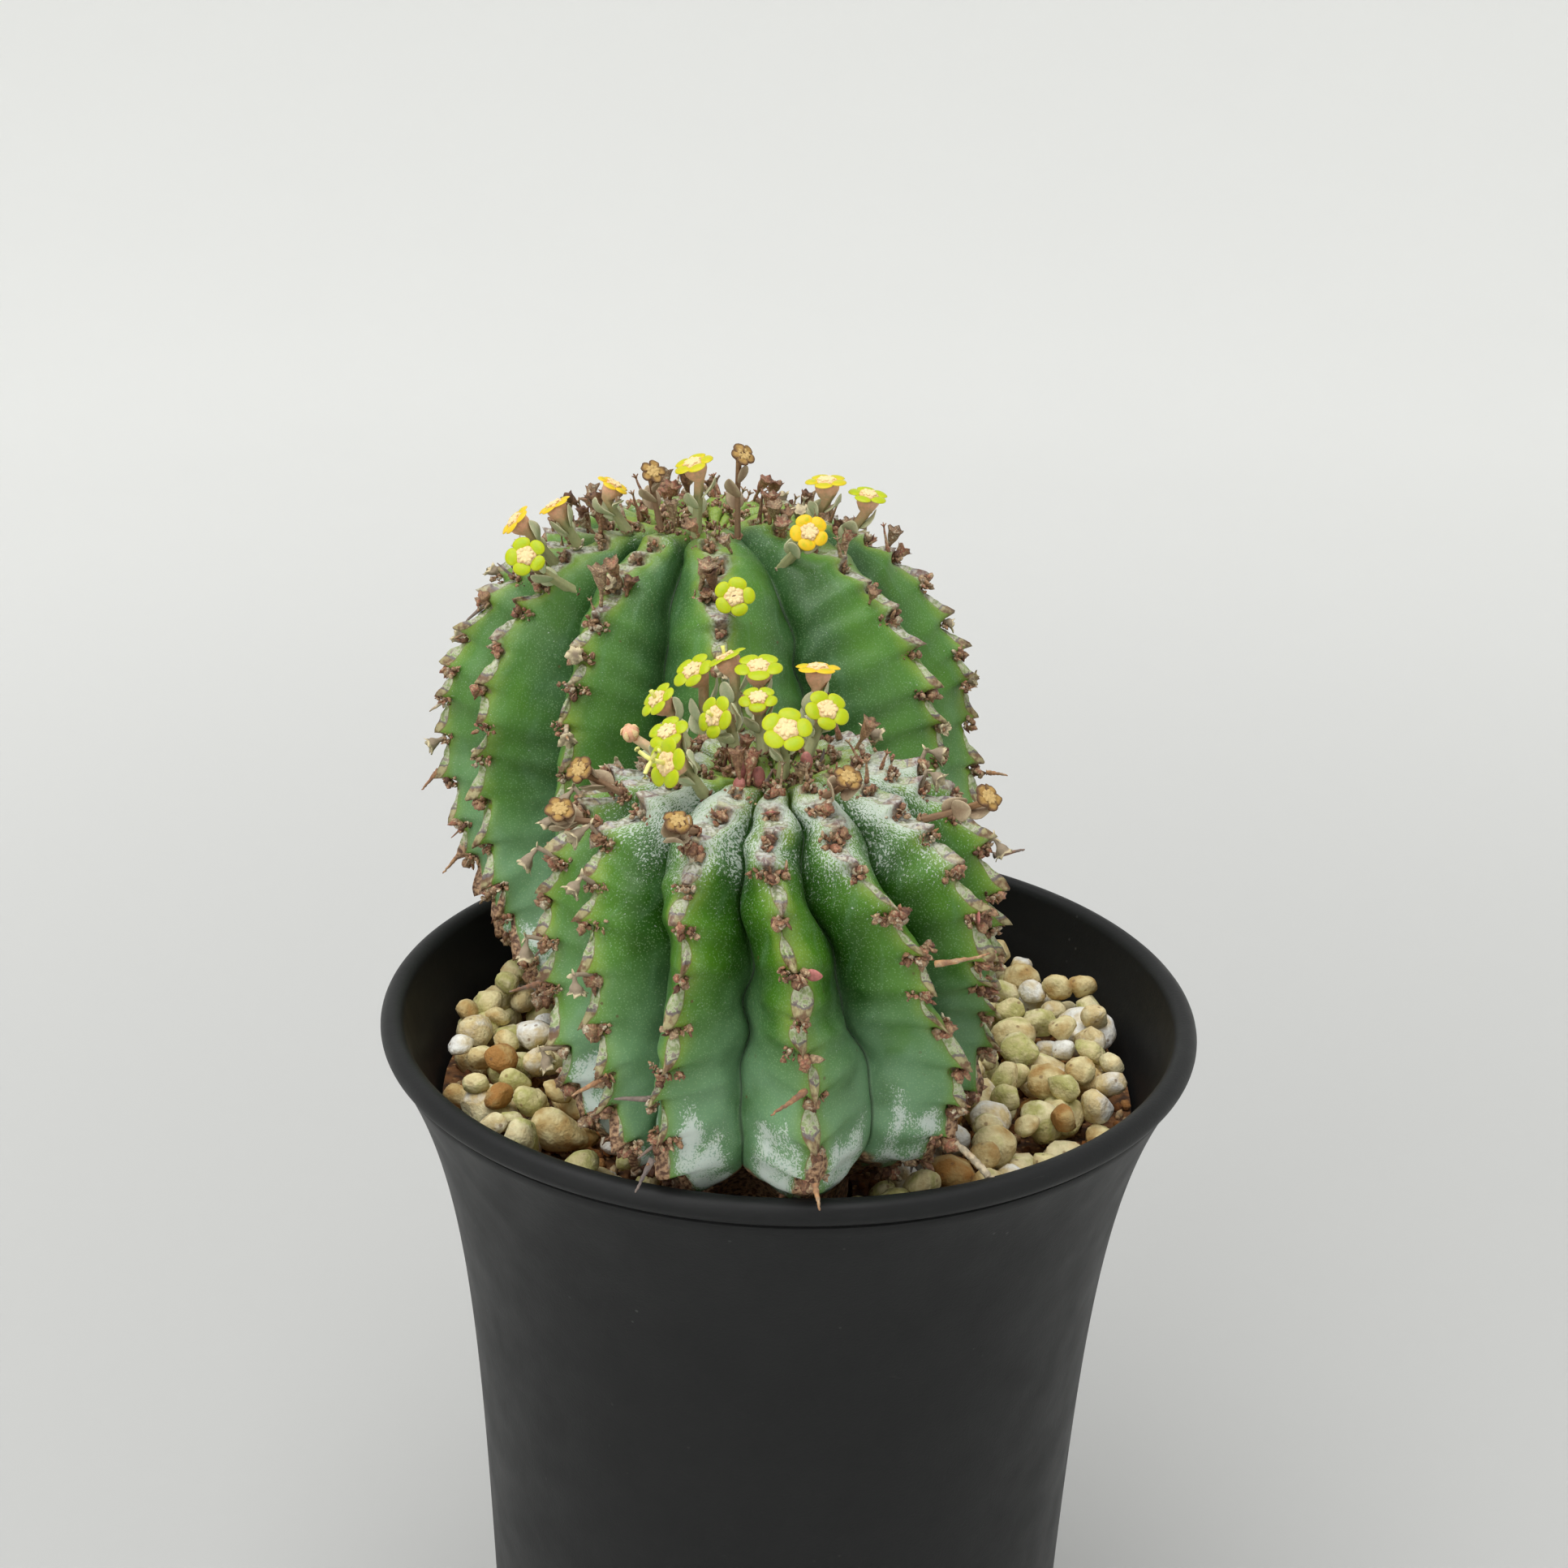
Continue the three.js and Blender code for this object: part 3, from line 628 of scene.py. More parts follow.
def scatter_tree():
    """Puts several small shapes on every point, turned towards the point's own facing."""
    tree, given = new_tree(
        "scattered_shapes",
        [
            ("Points", "Geometry"), ("Shapes", "Collection"), ("Copies", "Int"),
            ("Spread", "Float"), ("Fan", "Float"), ("Smallest", "Float"), ("Largest", "Float"),
            ("Seed", "Int"), ("Finish", "Material"),
        ],
    )

    def draw(kind, low, high, extra):
        """A random value for each point from low to high."""
        first = {"FLOAT_VECTOR": 0, "FLOAT": 2, "INT": 4}[kind]
        seed = node(tree, "ShaderNodeMath", {0: given["Seed"], 1: float(extra)}, operation="ADD")
        made = node(
            tree, "FunctionNodeRandomValue", {first: low, first + 1: high, 8: seed.outputs[0]},
            data_type=kind,
        )
        return made.outputs[{"FLOAT_VECTOR": 0, "FLOAT": 1, "INT": 2}[kind]]

    def vectors(operation, first, second):
        """Arithmetic on vectors."""
        socket = 3 if operation == "SCALE" else 1
        made = node(tree, "ShaderNodeVectorMath", {0: first, socket: second}, operation=operation)
        return made.outputs[0]

    def read(name, kind):
        """An attribute of the points."""
        made = node(tree, "GeometryNodeInputNamedAttribute", {"Name": name}, data_type=kind)
        return made.outputs["Attribute"]

    points = node(tree, "GeometryNodeMeshToPoints", {"Mesh": given["Points"]}).outputs[0]
    copies = node(
        tree, "GeometryNodeDuplicateElements", {"Geometry": points, "Amount": given["Copies"]},
        domain="POINT",
    )
    apart = vectors("SCALE", draw("FLOAT_VECTOR", (-1, -1, -1), (1, 1, 1), 1), given["Spread"])
    moved = node(tree, "GeometryNodeSetPosition", {"Geometry": copies.outputs[0], "Offset": apart})
    sway = vectors("SCALE", draw("FLOAT_VECTOR", (-1, -1, -1), (1, 1, 1), 2), given["Fan"])
    facing = vectors("ADD", read("facing", "FLOAT_VECTOR"), sway)
    aligned = node(tree, "FunctionNodeAlignRotationToVector", {"Vector": facing}, axis="Z")
    spin = node(
        tree, "FunctionNodeAxisAngleToRotation",
        {"Axis": (0, 0, 1), "Angle": draw("FLOAT", 0.0, 2 * math.pi, 3)},
    )
    turned = node(
        tree, "FunctionNodeRotateRotation",
        {"Rotation": aligned.outputs[0], "Rotate By": spin.outputs[0]}, rotation_space="LOCAL",
    )
    size = node(
        tree, "ShaderNodeMath",
        {0: draw("FLOAT", given["Smallest"], given["Largest"], 4), 1: read("size", "FLOAT")},
        operation="MULTIPLY",
    )
    shapes = node(
        tree, "GeometryNodeCollectionInfo",
        {"Collection": given["Shapes"], "Separate Children": True, "Reset Children": True},
    )
    placed = node(
        tree, "GeometryNodeInstanceOnPoints",
        {
            "Points": moved.outputs[0], "Instance": shapes.outputs[0], "Pick Instance": True,
            "Instance Index": draw("INT", 0, 99, 5), "Rotation": turned.outputs[0],
            "Scale": size.outputs[0],
        },
    )
    tinted = node(
        tree, "GeometryNodeStoreNamedAttribute",
        {"Geometry": placed.outputs[0], "Name": "tint", "Value": draw("FLOAT", 0.0, 1.0, 6)},
        data_type="FLOAT", domain="INSTANCE",
    )
    return end_tree(tree, tinted.outputs[0], given["Finish"])


def scatter(name, slot, points, facing, size, shapes, finish, *variety):
    """Grows shapes in millimetres on points and shows them all as one piece.

    variety is how many shapes stand on a point, how far apart and askew they are, their smallest
    and largest share of the size, and the seed.
    """
    family = bpy.data.collections.new(name + "_shapes")
    for index, pile in enumerate(shapes):
        mesh = pile.mesh(f"{name}_shape_{index}", np.vstack(pile.points) / 1000)
        family.objects.link(bpy.data.objects.new(mesh.name, mesh))
    attributes = {"facing": unit(facing), "size": np.broadcast_to(size, len(points))}
    source = plain_mesh(name, to_frame(points), [], None, attributes)
    values = dict(zip(("Copies", "Spread", "Fan", "Smallest", "Largest", "Seed"), variety))
    mesh = grow(name, source, scatter_tree(), {"Shapes": family, "Finish": finish, **values})
    for shape in list(family.objects):
        bpy.data.objects.remove(shape)
    bpy.data.collections.remove(family)
    mesh.shade_smooth()
    show(name, mesh, [], slot)


# Finishes


class Paint:
    """A material and short ways to add the nodes that colour it. Sizes are millimetres."""

    def __init__(self, name):
        self.material = bpy.data.materials.new(name)
        self.material.use_nodes = True
        self.tree = self.material.node_tree
        self.tree.nodes.clear()
        self.place = node(self.tree, "ShaderNodeTexCoord").outputs["Object"]

    def add(self, kind, inputs, output=0, **values):
        """Adds a shader node and gives one of its outputs."""
        return node(self.tree, "ShaderNode" + kind, inputs, **values).outputs[output]

    def read(self, name, output="Fac"):
        """An attribute of the mesh."""
        return self.add("Attribute", {}, output, attribute_name=name)

    def stretched(self, vector, scale):
        """A direction's pattern is drawn out where its scale is under 1."""
        return self.add("Mapping", {"Vector": vector, "Scale": scale})

    def noise(self, size, detail=2.0, vector=None, distortion=0.0):
        """Cloudy noise from 0 to 1 whose largest waves are about size apart."""
        inputs = {
            "Vector": vector or self.place, "Scale": 1000 / size, "Detail": detail,
            "Distortion": distortion,
        }
        return self.add("TexNoise", inputs)

    def cells(self, size):
        """The distance from the nearest of many scattered points, as a share of their spacing."""
        return self.add("TexVoronoi", {"Vector": self.place, "Scale": 1000 / size}, "Distance")

    def calc(self, operation, *values):
        """Arithmetic on values and nodes' outputs."""
        return self.add("Math", dict(enumerate(values)), operation=operation)

    def ramp(self, value, low, high):
        """0 at low and 1 at high, with a soft start and end."""
        inputs = {"Value": value, "From Min": low, "From Max": high}
        return self.add("MapRange", inputs, interpolation_type="SMOOTHSTEP")

    def both(self, *values):
        """The product of all the values."""
        found = values[0]
        for value in values[1:]:
            found = self.calc("MULTIPLY", found, value)
        return found

    def swing(self, value, amount):
        """Moves a pattern's middle from a half to nought and scales it."""
        return self.both(self.calc("SUBTRACT", value, 0.5), amount)

    def mix(self, amount, first, second):
        """From the first colour to the second, each three numbers or a node's output."""
        ends = [c if isinstance(c, bpy.types.NodeSocket) else (*c, 1) for c in (first, second)]
        return self.add("Mix", {0: amount, 6: ends[0], 7: ends[1]}, 2, data_type="RGBA")

    def gradient(self, value, *stops):
        """Colours along a value from 0 to 1, given as (position, colour)."""
        made = node(self.tree, "ShaderNodeValToRGB", {0: value})
        for index, (position, rgb) in enumerate(stops):
            points = made.color_ramp.elements
            point = points[index] if index < 2 else points.new(position)
            point.position = position
            point.color = (*rgb, 1)
        return made.outputs[0]

    def finish(self, colour, roughness, height, depth, **constants):
        """Ends the material. Height is the relief, depth its millimetres."""
        inputs = {"Strength": 1.0, "Distance": depth / 1000, "Height": height}
        normal = self.add("Bump", inputs)
        inputs = {"Base Color": colour, "Roughness": roughness, "Normal": normal, **constants}
        shader = self.add("BsdfPrincipled", inputs)
        node(self.tree, "ShaderNodeOutputMaterial", {0: shader})
        return self.material


def plastic_finish(look):
    """Matt black plastic with a fine grain, dust and short scratches."""
    paint = Paint("pot_plastic")
    worn_plastic = tuple(c * 1.7 for c in look.plastic)
    base = paint.mix(paint.noise(22, 3), look.plastic, worn_plastic)
    dust = paint.ramp(paint.cells(2.6), 0.085, 0.04)
    dust = paint.both(dust, paint.ramp(paint.noise(9), 0.52, 0.68))
    streaks = paint.noise(0.8, 2, paint.stretched(paint.place, (0.35, 0.35, 1.6)), 1.2)
    streaks = paint.both(paint.ramp(streaks, 0.70, 0.78), paint.ramp(paint.noise(14), 0.55, 0.7), 0.6)
    marks = paint.both(paint.calc("MAXIMUM", dust, streaks), 0.55)
    base = paint.mix(marks, base, look.speck)
    rough = paint.calc("MULTIPLY_ADD", paint.noise(6, 4), 0.26, 0.36)
    height = paint.calc("MULTIPLY_ADD", paint.noise(0.28), 0.5, paint.noise(3))
    return paint.finish(base, rough, height, 0.035, **{"Specular IOR Level": 0.22})


def mottled_finish(name, stops, size, rough, depth, spots=None, dirt=0.42):
    """A rough natural surface whose colour follows each piece's tint and noise of a size."""
    paint = Paint(name)
    value = paint.calc("ADD", paint.read("tint"), paint.swing(paint.noise(size, 4), 0.9))
    base = paint.gradient(value, *stops)
    shade = paint.both(paint.ramp(paint.noise(size * 0.45, 3), 0.32, 0.62), dirt)
    base = paint.mix(shade, base, tuple(c * 0.45 for c in stops[0][1]))
    if spots:
        at = paint.both(paint.ramp(paint.cells(size * 0.6), 0.2, 0.08), 0.7)
        base = paint.mix(at, base, spots)
    height = paint.calc("ADD", paint.noise(size * 0.5, 4), paint.noise(size * 0.16))
    return paint.finish(base, rough, height, depth)


def soil_finish(look):
    """Brown soil with lighter crumbs."""
    paint = Paint("soil_crumb")
    base = paint.mix(paint.ramp(paint.noise(1.6, 4), 0.35, 0.62), (0.05, 0.022, 0.009), look.soil)
    base = paint.mix(paint.ramp(paint.cells(0.9), 0.3, 0.12), base, (0.30, 0.16, 0.06))
    height = paint.calc("ADD", paint.noise(0.9, 4), paint.cells(0.7))
    return paint.finish(base, 0.95, height, 0.3)


def stone_finish():
    """Cream, olive, grey-white and rust-brown gravel."""
    stops = [
        (0.0, (0.40, 0.19, 0.045)), (1.0, (0.88, 0.88, 0.82)), (0.14, (0.54, 0.38, 0.15)),
        (0.32, (0.78, 0.68, 0.37)), (0.50, (0.48, 0.47, 0.16)), (0.66, (0.82, 0.74, 0.45)),
        (0.80, (0.66, 0.52, 0.26)),
    ]
    return mottled_finish("gravel_stone", stops, 2.4, 0.85, 0.16, (0.2, 0.11, 0.045), 0.2)


def grain_finish():
    """Crumbs of soil and clay."""
    stops = [
        (0.0, (0.16, 0.055, 0.014)), (1.0, (0.60, 0.46, 0.26)), (0.4, (0.34, 0.13, 0.03)),
        (0.75, (0.45, 0.22, 0.07)),
    ]
    return mottled_finish("soil_grain", stops, 1.2, 0.95, 0.1)


def husk_finish():
    """Papery brown scales, from dark brown through rosy and tan to cream."""
    stops = [
        (0.0, (0.13, 0.050, 0.026)), (1.0, (0.80, 0.70, 0.50)), (0.18, (0.33, 0.165, 0.085)),
        (0.38, (0.52, 0.33, 0.175)), (0.54, (0.42, 0.145, 0.085)), (0.68, (0.64, 0.48, 0.28)),
        (0.86, (0.34, 0.19, 0.10)),
    ]
    return mottled_finish("husk", stops, 0.5, 0.5, 0.09, None, 0.5)


def twig_finish():
    """Grey to red-brown dry wood."""
    stops = [
        (0.0, (0.15, 0.12, 0.11)), (1.0, (0.60, 0.50, 0.34)), (0.3, (0.28, 0.21, 0.17)),
        (0.55, (0.33, 0.15, 0.075)), (0.78, (0.50, 0.27, 0.12)),
    ]
    return mottled_finish("dry_stalk", stops, 1.1, 0.75, 0.07)


def trumpet_finish():
    """Withered flowers, darker at the stalk and straw-coloured at the mouth."""
    inner, outer = (0.30, 0.235, 0.16), (0.80, 0.68, 0.42)
    return toned_finish("dry_trumpet", inner, outer, 0.8, 0.8, 0.06, 0.6)


def toned_finish(name, inner, outer, size, rough, depth, speckle, **constants):
    """A petal-like surface that goes from one colour to another with the piece's tone."""
    paint = Paint(name)
    tone = paint.calc("ADD", paint.read("tone"), paint.swing(paint.noise(size, 3), speckle))
    base = paint.mix(paint.ramp(tone, 0.15, 0.95), inner, outer)
    fine = paint.both(paint.ramp(paint.noise(size * 0.3), 0.35, 0.7), 0.2)
    base = paint.mix(fine, base, tuple(c * 0.55 for c in inner))
    return paint.finish(base, rough, paint.noise(size * 0.4, 3), depth, **constants)


def flesh(specular):
    """The constants of a soft petal that lets a little light through."""
    return {
        "Subsurface Weight": 0.08, "Subsurface Scale": 0.0004, "Specular IOR Level": specular
    }


def gland_finish(look):
    """Satin glands, yellow-green or amber by the flower's tint, greener towards their middles.

    The tone runs from 0 in a gland's middle to 1 at its edge, and is above 1 on the styles.
    """
    paint = Paint("gland")
    tone, blotch = paint.read("tone"), paint.noise(0.8, 3)
    age = paint.calc("ADD", paint.read("tint"), paint.swing(blotch, 0.5))
    base = paint.mix(paint.ramp(age, 0.1, 0.9), look.gland, look.amber)
    green = paint.both(paint.ramp(tone, 0.5, 0.05), paint.ramp(blotch, 0.3, 0.7), 0.6)
    base = paint.mix(green, base, (0.30, 0.46, 0.006))
    base = paint.mix(paint.both(paint.ramp(tone, 0.75, 1.0), 0.35), base, (0.62, 0.66, 0.10))
    base = paint.mix(paint.ramp(tone, 1.2, 1.6), base, (0.84, 0.80, 0.26))
    return paint.finish(base, 0.38, paint.noise(0.3), 0.02, **flesh(0.25))


def flower_finishes(look):
    """The finishes of a fresh flower, in the order in which flower() numbers them."""
    peach, straw, soft = (0.78, 0.34, 0.18), (0.62, 0.60, 0.38), flesh(0.3)
    stalk, cup = (0.34, 0.35, 0.17), (0.86, 0.47, 0.29)
    return [
        gland_finish(look),
        toned_finish("flower_centre", look.centre, peach, 0.5, 0.6, 0.07, 0.9, **soft),
        toned_finish("flower_cup", stalk, cup, 1.1, 0.5, 0.04, 0.7, **soft),
        toned_finish("bract", look.bract, straw, 0.7, 0.6, 0.05, 0.6),
        husk_finish(),
    ]


def dry_flower_finishes():
    """The finishes of a dry flower, in the same order."""
    return [
        toned_finish("dry_gland", (0.40, 0.235, 0.06), (0.09, 0.036, 0.011), 0.5, 0.7, 0.1, 0.8),
        toned_finish("dry_centre", (0.56, 0.38, 0.14), (0.26, 0.14, 0.04), 0.45, 0.75, 0.14, 1.0),
        toned_finish("dry_cup", (0.22, 0.13, 0.07), (0.36, 0.20, 0.09), 0.8, 0.8, 0.08, 0.9),
        toned_finish("dry_bract", (0.30, 0.20, 0.12), (0.50, 0.40, 0.26), 0.7, 0.8, 0.06, 0.6),
        husk_finish(),
    ]


class SkinPaint(Paint):
    """The stems' skin, painted in layers.

    The skin's attributes give the millimetres from the crest, the running number of teeth, the
    share of the way into the valley, the level as a share of a right angle, the wax, the cork and
    a direction of grain.
    """

    def __init__(self, name, look):
        super().__init__(name)
        self.look = look
        self.crest, self.level, self.valley = (self.read(k) for k in ("crest", "level", "valley"))
        self.phase = self.calc("FRACT", self.read("tooth"))
        self.grain = self.read("grain", "Vector")
        self.slow, self.patch, self.speck = self.noise(8, 3), self.noise(3.2, 3), self.noise(0.9, 3)
        self.dirt = self.noise(0.42, 4)
        self.wave = self.swing(self.slow, 0.7)
        self.streak = self.noise(0.9, 3, self.stretched(self.grain, (1.0, 1.0, 0.14)))

    def green(self, bloom):
        """Deep green in the valleys, partly the skin's own colour and partly painted shade, yellow-green
        by the crests and blue-green lower down.
        """
        look, low = self.look, self.ramp(self.calc("ADD", self.level, self.wave), 0.26, -0.32)
        # Partly painted shade: the flank green darkens towards the bottom of each valley.
        into = self.ramp(self.calc("ADD", self.valley, self.wave), 0.2, 0.9)
        base = self.mix(into, look.flank, look.deep)
        cloud = self.both(
            self.calc("MAXIMUM", low, bloom), self.ramp(self.slow, 0.18, 0.52),
            self.ramp(self.crest, 0.4, 2.6), 0.9,
        )
        base = self.mix(cloud, base, look.glaucous)
        near = self.ramp(self.calc("MULTIPLY_ADD", self.patch, 2.4, self.crest), 4.6, 1.3)
        near = self.both(near, self.calc("MULTIPLY_ADD", low, -0.55, 0.85))
        return self.mix(near, base, look.crest)

    def marked(self, base):
        """Fine pale dots, streaks along the grain, small scars and a dark line of painted shade along the
        bottom of each valley.
        """
        dots = self.ramp(self.cells(0.24), 0.42, 0.14)
        stipple = self.both(dots, self.ramp(self.slow, 0.1, 0.5), 0.34)
        base = self.mix(stipple, base, (0.26, 0.42, 0.20))
        base = self.mix(self.both(self.ramp(self.streak, 0.52, 0.75), 0.22), base, self.look.glaucous)
        scars = self.both(self.ramp(self.cells(2.3), 0.10, 0.05), self.ramp(self.patch, 0.45, 0.6), 0.75)
        base = self.mix(scars, base, (0.10, 0.055, 0.02))
        # Painted shade: a near-black green line along the bottom of each valley.
        painted_crease_shade = self.both(self.ramp(self.valley, 0.965, 1.0), 0.75)
        return self.mix(painted_crease_shade, base, (0.010, 0.030, 0.006))

    def waxed(self, base):
        """A thin film, solid wax near the foot and fine flecks, whose amount is given too."""
        wax = self.read("wax")
        film = self.both(self.ramp(wax, 0.1, 1.0), self.ramp(self.patch, 0.25, 0.6), 0.36)
        base = self.mix(film, base, (0.25, 0.36, 0.24))
        solid = self.both(self.ramp(wax, 0.55, 0.95), self.ramp(self.level, -0.2, -0.3), 0.72)
        base = self.mix(solid, base, self.mix(self.patch, (0.24, 0.34, 0.30), (0.46, 0.55, 0.53)))
        flecks = self.noise(0.15, 3, self.stretched(self.grain, (1.0, 1.0, 0.6)), 0.5)
        amount = self.calc("MULTIPLY_ADD", self.patch, 0.34, flecks)
        amount = self.calc("MULTIPLY_ADD", wax, 0.44, amount)
        return self.mix(self.both(self.ramp(amount, 0.86, 1.0), 0.75), base, self.look.wax), amount

    def beaded(self, base):
        """Horny beads on the crests, cream above and brown below, with a dark rim."""
        wobble = self.swing(self.speck, 0.5)
        along = self.calc("DIVIDE", self.calc("SUBTRACT", self.phase, 0.40), 0.36)
        across = self.calc("DIVIDE", self.crest, 1.4)
        oval = self.calc("MULTIPLY_ADD", across, across, self.both(along, along))
        oval = self.calc("ADD", oval, wobble)
        pale = self.mix(self.ramp(self.dirt, 0.36, 0.62), (0.27, 0.34, 0.14), self.look.bead)
        freckles = self.both(self.ramp(self.dirt, 0.52, 0.60), self.ramp(self.phase, 0.15, 0.45), 0.8)
        pale = self.mix(freckles, pale, (0.17, 0.10, 0.12))
        brown = self.mix(self.ramp(self.speck, 0.38, 0.62), (0.17, 0.085, 0.05), (0.42, 0.36, 0.19))
        turn = self.calc("MULTIPLY_ADD", wobble, 0.3, self.phase)
        bead = self.mix(self.ramp(turn, 0.47, 0.53), pale, brown)
        line = self.ramp(self.calc("ABSOLUTE", self.calc("SUBTRACT", turn, 0.49)), 0.035, 0.012)
        bead = self.mix(self.both(line, 0.8), bead, (0.13, 0.085, 0.115))
        free = self.ramp(self.level, 0.80, 0.55)
        base = self.mix(self.both(self.ramp(oval, 1.08, 0.82), free, 0.94), base, bead)
        rim = self.ramp(self.calc("ABSOLUTE", self.calc("SUBTRACT", oval, 1.0)), 0.16, 0.04)
        return self.mix(self.both(rim, free, 0.55), base, (0.17, 0.10, 0.04))

    def dusted(self, base):
        """A dusty film on the upper crests, and the teeth's dry noses."""
        film = self.both(
            self.ramp(self.level, 0.22, 0.5), self.ramp(self.crest, 2.0, 0.6),
            self.ramp(self.patch, 0.3, 0.55), self.ramp(self.level, 0.82, 0.64), 0.62,
        )
        dust = self.mix(self.ramp(self.dirt, 0.4, 0.6), (0.22, 0.16, 0.18), (0.62, 0.63, 0.60))
        base = self.mix(film, base, dust)
        nose = self.both(
            self.ramp(self.phase, 0.68, 0.74), self.ramp(self.phase, 0.99, 0.90), 0.75,
            self.ramp(self.calc("ADD", self.crest, self.speck), 1.7, 1.1),
        )
        dry = self.mix(self.ramp(self.speck, 0.4, 0.6), (0.085, 0.04, 0.028), (0.30, 0.20, 0.13))
        return self.mix(nose, base, dry)

    def corked(self, base):
        """Brown cork at the foot."""
        cork = self.mix(self.ramp(self.dirt, 0.35, 0.65), (0.10, 0.045, 0.025), (0.48, 0.30, 0.17))
        bare = self.ramp(self.calc("ADD", self.read("cork"), self.wave), 0.35, 0.7)
        return self.mix(bare, base, cork)


def skin_finish(name, look, bloom):
    """Satin green skin with all its layers and a fine relief. bloom is its least blue-green."""
    paint = SkinPaint(name, look)
    base, flecks = paint.waxed(paint.marked(paint.green(bloom)))
    base = paint.corked(paint.dusted(paint.beaded(base)))
    rough = paint.calc("MULTIPLY_ADD", flecks, 0.28, 0.24)
    height = paint.calc("MULTIPLY_ADD", paint.noise(0.22), 0.35, paint.both(paint.streak, 0.5))
    knobs = paint.calc("ADD", paint.speck, paint.dirt)
    knobs = paint.both(knobs, paint.ramp(paint.crest, 1.9, 0.6), 1.6)
    return paint.finish(
        base, rough, paint.calc("ADD", height, knobs), 0.09,
        **{"Subsurface Weight": 0.05, "Subsurface Scale": 0.0008, "Specular IOR Level": 0.36},
    )


# The pot and what fills it


def pot_radius(depth):
    """The pot's outside, which flares towards the rim, at depths below the rim line."""
    depth = np.asarray(depth, float)
    return 35.95 - 0.025 * depth + 9 * np.exp(-depth / 17)


def pot_inside(depth):
    """The inside of the pot's wall."""
    return pot_radius(depth) - settings().pot.wall * 1000


def pot_outline():
    """The pot's outline as (radius, height from the rim line), from under it to its floor."""
    floor, foot = FLOOR - RIM_LEVEL, float(pot_radius(RIM_LEVEL))
    outline = [(0, -RIM_LEVEL)]
    for angle in range(0, 91, 15):
        turn = math.radians(angle)
        inwards, up = BASE_ROUND * (1 - math.sin(turn)), BASE_ROUND * (1 - math.cos(turn))
        outline.append((foot - inwards, up - RIM_LEVEL))
    depths = np.concatenate([[2.0, 2.8], 4 + 86 * np.linspace(0, 1, 34) ** 1.5])
    for depth in depths[::-1]:
        outline.append((float(pot_radius(depth)), -depth))
    # A fine groove parts the wall from the bead.
    outline += [(43.86, -1.72), (43.62, -1.52), (43.66, -1.32)]
    centre = RIM_RADIUS - LIP_RADIUS
    for angle in range(-64, 181, 12):
        turn = math.radians(angle)
        outline.append((centre + LIP_RADIUS * math.cos(turn), LIP_RADIUS * math.sin(turn)))
    for depth in depths[2:]:
        outline.append((float(pot_inside(depth)), -depth))
    inside = float(pot_inside(RIM_LEVEL - FLOOR))
    return outline + [(inside - 1.5, floor + 0.4), (inside - 3, floor), (0, floor)]


def turned_piece(name, outline, sides, cutters, finish, rough):
    """A turned shape with round holes, from cutters of (x, y, radius, low, high).

    rough is the level above which the shape is uneven, by how much, and in waves of what size.
    """
    pile = Pile()
    for x, y, radius, low, high in cutters:
        points, faces = turned([(0, low), (radius, low), (radius, high), (0, high)], 48)
        pile.add(points + (x, y, 0), faces)
    drill = name + "_drill"
    drill = linked(drill, pile.mesh(drill, to_frame(np.vstack(pile.points))))
    points = to_frame([(radius, 0, height) for radius, height in outline])
    above, height, size = rough
    mesh = grow(
        name, plain_mesh(name, points, []), turned_tree(),
        {
            "Corners": len(outline), "Sides": sides, "Cutter": drill, "Finish": finish,
            "Rough Above": float(to_frame((0, 0, above))[2]), "Rough Height": height / 1000,
            "Rough Scale": 1000 / size,
        },
    )
    bpy.data.objects.remove(drill)
    mesh.shade_smooth()
    mesh.set_sharp_from_angle(angle=math.radians(38))
    return mesh


def stem_centre(stem, height):
    """The stem's axis at heights from the rim line."""
    low = np.clip((stem["waist"] - np.asarray(height, float)) / 27, 0, 1.2)
    return stem["x"] - stem["lean_x"] * low, stem["y"] - stem["lean_y"] * low


def pebble_shape(draw, rounds=12, rows=9):
    """A worn pebble about 1 mm in radius."""
    pile = Pile()
    points, faces = ball(rounds, rows)
    points = worn(points, draw, 9)
    pile.add(points * (1, draw.uniform(0.75, 0.95), draw.uniform(0.62, 0.85)), faces)
    return pile


def worn(points, draw, flats):
    """A unit ball worn flat on some sides and lumpy on the rest."""
    for way in unit(draw.normal(size=(flats, 3))):
        over = np.maximum(0, points @ way - draw.uniform(0.62, 0.82))
        points = points - 0.85 * over[:, None] * way
    swell = 1.08 + 0.085 * ripple(points, 1.9, int(draw.integers(1e6)))
    return points * (swell + 0.04 * ripple(points, 0.6, int(draw.integers(1e6))))[:, None]


